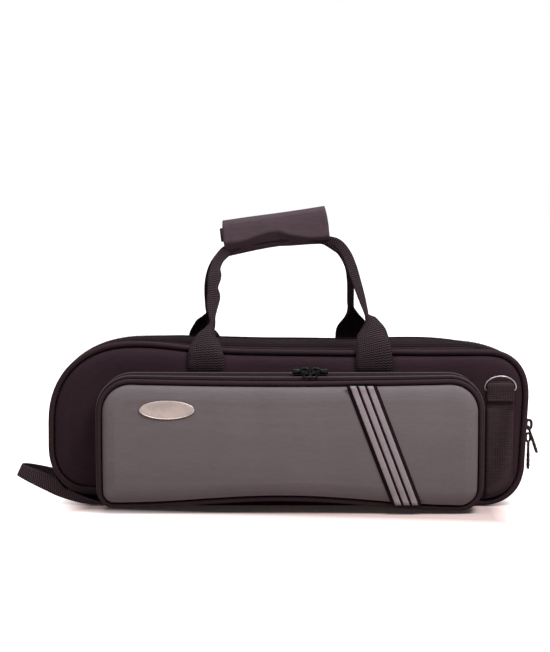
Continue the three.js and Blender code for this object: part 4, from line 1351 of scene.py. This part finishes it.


# End loop

# Upper edge, lower edge and depth of the band, from under the front of the corner, out to the
# left, round the bend and back to the body: X and Z of each edge, then the depth
loop_stations = (
    (-214, 4.2, -208, 0.6, -72), (-228, 8.8, -226, 1.4, -71), (-243, 15.2, -240, 3.4, -69),
    (-261, 26.6, -261, 8.6, -64), (-276.5, 34.2, -278.6, 15.2, -58), (-292.5, 39.4, -296, 22.4, -52),
    (-303, 41.6, -307.5, 26.6, -44), (-306, 41.4, -312.4, 27.6, -36), (-304.5, 40.6, -309.5, 26.0, -28),
    (-298, 38.6, -301, 22.8, -20), (-286, 35.4, -288, 18.8, -15), (-272, 31.8, -273, 15.6, -12),
    (-258, 29.0, -258, 13.4, -11),
)
loop_thickness = 2.2
loop_samples = 110


def build_end_loop():
    values = spline(loop_stations, loop_samples)
    upper = values[:, [0, 4, 1]]
    lower = values[:, [2, 4, 3]]
    places = (upper + lower) / 2
    acrosses = upper - lower
    throughs = unit_rows(np.cross(np.gradient(places, axis=0), acrosses)) * loop_thickness
    still = np.zeros(len(places))
    grid = band_grid(places, acrosses, throughs, still)
    uvs = band_uvs(places, np.linalg.norm(acrosses, axis=1), still)
    band = grid_object("end_loop_band", grid, "loop_webbing", caps=True, uvs=uvs)
    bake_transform(band)
    settle(band, None, "webbing", "end_loop", "end_loop_anchor")


build_end_loop()


# Sliders and pulls

slider_low = 271.6
slider_high = 276.6
slider_shoulder = 1
slider_half_width = 4.6
slider_half_length = 6.6
slider_shoulder_share = 0.96
slider_crown_share = 0.6
# Along a slider's half length, how wide it is there
slider_shares = ((-1, 0.62), (-0.92, 0.8), (-0.3, 0.9), (0.3, 1), (0.92, 0.9), (1, 0.66))
# Height of each main slider, then its bail: middle in X, half width, half height, and wire
main_sliders = {"upper": (81.4, 282.3, 4.7, 6.8, 1.7), "lower": (66, 281.6, 3.8, 6.2, 1.4)}
# X of each pocket slider and how far its hoop stands off along X
pocket_sliders = {"left": (18, 3), "right": (30, -3)}
pocket_bail = {"depth": -102, "height": 158.6, "high": (0, 0, 2.4)}
pocket_hoop = {"depth": -108.5, "height": 153.8, "high": (0, 6.5, 1.2)}
pocket_loop_wide = (4, 0, 0)
pocket_loop_wire = 1.3
bail_sides = 10
bail_steps = 8
bail_exponent = 2.6


def build_bail(name, body, centre, wide, high, wire, look):
    """A closed wire loop about a centre, in the plane of the two vectors that give its half sizes."""
    wide, high = np.asarray(wide, float), np.asarray(high, float)
    shape = ((0, 0), (1, 1), bail_exponent)
    shares = np.concatenate([corner(shape, quarter_turn * i, bail_steps)[:-1] for i in range(4)])
    line = np.asarray(centre, float) + shares[:, :1] * wide + shares[:, 1:] * high
    facing = np.cross(wide, high)
    facing /= np.linalg.norm(facing)
    out = unit_rows(np.cross(ring_ahead(line), facing))
    angles = [full_turn * i / bail_sides for i in range(bail_sides)]
    rows = [line + wire * (math.cos(a) * out + math.sin(a) * facing) for a in angles]
    loop = grid_object(name, np.array(rows), look, wrap_rows=True)
    settle(loop, body, "black_enamel")


def build_main_slider(word, z, x, half_wide, half_high, wire):
    """A slider on the zip at the right end: a waisted plate, and a bail that stands off it."""
    rows = []
    for share, wide in slider_shares:
        half = slider_half_width * wide
        level = z + share * slider_half_length
        edge = [
            (slider_low, half), (slider_high - slider_shoulder, half * slider_shoulder_share),
            (slider_high, half * slider_crown_share),
        ]
        rows.append([(edge[0][0], -half, level)] + [(place, y, level) for place, y in edge]
                    + [(place, -y, level) for place, y in edge[:0:-1]])
    name = f"{word}_slider_body"
    body = f"{word}_slider"
    plate = grid_object(f"{name}_plate", np.array(rows), "black_enamel", caps=True)
    settle(plate, body, "black_enamel", f"main_slider_{word}")
    build_bail(
        f"{name}_bail", body, (x, 0, z), (half_wide - wire, 0, 0), (0, 0, half_high - wire), wire,
        "black_enamel",
    )


def build_pocket_slider(word, x, lean):
    """The frame's own slider with a better material, its bail and the hoop of its pull."""
    node = f"pocket_slider_{word}"
    body = f"{word}_pocket_slider"
    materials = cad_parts[node].data.materials
    materials.clear()
    materials.append(looks["black_nickel"])
    for suffix, loop, place in (("bail", pocket_bail, x), ("hoop", pocket_hoop, x + lean)):
        centre = (place, loop["depth"], loop["height"])
        build_bail(
            f"{node}_{suffix}", body, centre, pocket_loop_wide, loop["high"], pocket_loop_wire,
            "black_nickel",
        )


for word, values in main_sliders.items():
    build_main_slider(word, *values)
for word, values in pocket_sliders.items():
    build_pocket_slider(word, *values)

pull_sides = 8
pull_roundness = 0.6
# Share of a pull's length, then half its width and half its thickness as shares
pull_outline_share = (
    (-0.05, 0.3, 0.5), (0, 0.62, 0.8), (0.1, 0.75, 0.8), (0.22, 0.7, 0.75), (0.3, 0.5, 0.8),
    (0.38, 0.55, 0.9), (0.5, 0.8, 1), (0.6, 0.92, 0.86), (0.68, 0.98, 1.04), (0.76, 1, 0.86),
    (0.84, 1, 1.04), (0.91, 0.96, 0.86), (0.97, 0.8, 0.9), (1, 0.5, 0.5),
)
main_pull_size = (32.5, 7, 3.8)
pocket_pull_size = (14, 8, 6.6)
upper_lean = math.radians(18.6)
# Body, node, pivot, heading about Y, then length, width and thickness, and the look
pulls = {
    "upper_pull_tab": (
        "upper_pull", "main_pull_upper", (281.8, 0, 78.4), upper_lean, main_pull_size, "black_enamel",
    ),
    "lower_pull_tab": (
        "lower_pull", "main_pull_lower", (282, 0, 61), 0, main_pull_size, "black_enamel",
    ),
    "left_pocket_tab": (
        "left_pocket_pull", "pocket_pull_left", (18.2, -100, 157.4), -quarter_turn, pocket_pull_size,
        "black_nickel",
    ),
    "right_pocket_tab": (
        "right_pocket_pull", "pocket_pull_right", (29.8, -100, 157.4), quarter_turn, pocket_pull_size,
        "black_nickel",
    ),
}


def rounded(value):
    """A cosine or sine drawn towards its ends, which squares a circle a little."""
    return np.sign(value) * abs(value) ** pull_roundness


def build_pull(name, body, node, pivot, heading, size, look):
    """A pull with a neck and a knurled tab; heading turns it about Y."""
    length, wide, thick = size
    c, s = math.cos(heading), math.sin(heading)
    rows = []
    for along, half_wide, half_thick in pull_outline_share:
        z = -length * along
        row = []
        for i in range(pull_sides):
            angle = full_turn * (i + half_share) / pull_sides
            x = thick / 2 * half_thick * rounded(math.cos(angle))
            y = wide / 2 * half_wide * rounded(math.sin(angle))
            row.append((pivot[0] + x * c - z * s, pivot[1] + y, pivot[2] + x * s + z * c))
        rows.append(row)
    pull = grid_object(name, np.array(rows), look, caps=True)
    settle(pull, body, "black_enamel", node)


for name, values in pulls.items():
    build_pull(name, *values)


# Stage

floor_span = 12000
floor_depth = 6000
floor_level = -0.4
# The floor's darker pink base and blush paint the shadow's colour near the bag
painted_shadow_floor_colour = (0.52, 0.43, 0.42, 1)
painted_shadow_blush = (1, 0.80, 0.77)
white = (1, 1, 1)
floor_roughness = 0.5
floor_shine = 0.1
# Around the bag, a slanted stretch of the floor loses its glow and keeps its darker pink base, a painted
# shadow on top of its real one; further off it is seen as plain white
shadow_half_length = 225
shadow_near = -116
shadow_slant = 0.14
shadow_far = -40
shadow_fade = 40
shadow_glow_share = 0.02
ambient_share = 0.15
# Place, target, size, power and colour of each lamp
lamps = {
    "overhead": ((-200, 350, 1900), (0, -60, 60), (1500, 1100), 14, (1, 0.97, 0.98)),
    "left_front": ((-800, -1000, 2200), (0, -50, 120), (1300, 1100), 24, (1, 0.97, 0.97)),
    "right_front": ((900, -1000, 2100), (0, -50, 120), (1200, 1000), 76, (1, 0.96, 0.96)),
}


def distance_beyond(shading, value, low, high):
    """How far a coordinate lies outside the stretch between two places, in metres."""
    below = shading.math("SUBTRACT", low * mm, value)
    above = shading.math("SUBTRACT", value, high * mm)
    return shading.math("MAXIMUM", shading.math("MAXIMUM", below, above), 0)


def emission_floor():
    """White floor whose glow fades near the bag into a darker pink, a painted shadow, and which shows as
    white to the camera further off.
    """
    shading, place = new_shading("floor_white")
    x, y, z = shading.split(place)
    aside = distance_beyond(shading, x, -shadow_half_length, shadow_half_length)
    ahead = shading.math("ADD", y, shading.math("MULTIPLY", x, shadow_slant))
    away = shading.math("MAXIMUM", aside, distance_beyond(shading, ahead, shadow_near, shadow_far))
    grown = shading.math("MINIMUM", shading.math("DIVIDE", away, shadow_fade * mm), 1)
    path = shading.add("LightPath").outputs
    seen = shading.math("ADD", path["Is Camera Ray"], path["Is Glossy Ray"])
    seen = shading.math("ADD", seen, path["Is Transmission Ray"])
    spread = shading.math("MULTIPLY", grown, 1 - shadow_glow_share)
    spread = shading.math("ADD", spread, shadow_glow_share)
    inputs = shading.shader.inputs
    shading.link(shading.math("MULTIPLY", seen, spread), inputs["Emission Strength"])
    shading.link(shading.between(grown, painted_shadow_blush, white), inputs["Emission Color"])
    inputs["Base Color"].default_value = painted_shadow_floor_colour
    inputs["Roughness"].default_value = floor_roughness
    inputs["Specular IOR Level"].default_value = floor_shine
    return shading.owner


def build_stage():
    half = floor_span / 2
    points = [
        (-half, -half, floor_level), (half, -half, floor_level),
        (half, floor_depth, floor_level), (-half, floor_depth, floor_level),
    ]
    looks["floor_white"] = emission_floor()
    floor = new_object("floor", points, [(0, 1, 2, 3)], "floor_white", smooth=False)


def build_world():
    world = bpy.data.worlds.new("studio")
    bpy.context.scene.world = world
    shading = Shading(world)
    background = shading.tree.nodes["Background"]
    background.inputs["Color"].default_value = (*white, 1)
    path = shading.add("LightPath").outputs
    seen = shading.math("MAXIMUM", path["Is Camera Ray"], path["Is Transmission Ray"])
    seen = shading.math("MAXIMUM", seen, path["Is Glossy Ray"])
    scaled = shading.math("MULTIPLY", seen, 1 - ambient_share)
    strength = shading.math("ADD", scaled, ambient_share)
    shading.link(strength, background.inputs["Strength"])


def area_lamp(name, place, target, size, power, colour):
    data = bpy.data.lights.new(name, "AREA")
    data.shape = "RECTANGLE"
    data.size, data.size_y = (value * mm for value in size)
    data.energy = power
    data.color = colour
    lamp = bpy.data.objects.new(name, data)
    lamp.location = Vector(place) * mm
    direction = Vector(target) - Vector(place)
    lamp.rotation_euler = direction.to_track_quat("-Z", "Y").to_euler()
    bpy.context.scene.collection.objects.link(lamp)


def build_camera():
    data = bpy.data.cameras.new("camera")
    data.sensor_width = sensor_size
    data.lens = focal_pixels / picture_height * sensor_size
    data.clip_end = floor_span * mm
    camera = bpy.data.objects.new("camera", data)
    camera.location = Vector(camera_place) * mm
    camera.rotation_euler = (quarter_turn - camera_pitch, 0, 0)
    bpy.context.scene.collection.objects.link(camera)
    bpy.context.scene.camera = camera


build_stage()
build_world()
for name, values in lamps.items():
    area_lamp(name, *values)
build_camera()
bpy.context.scene.view_settings.view_transform = "Standard"
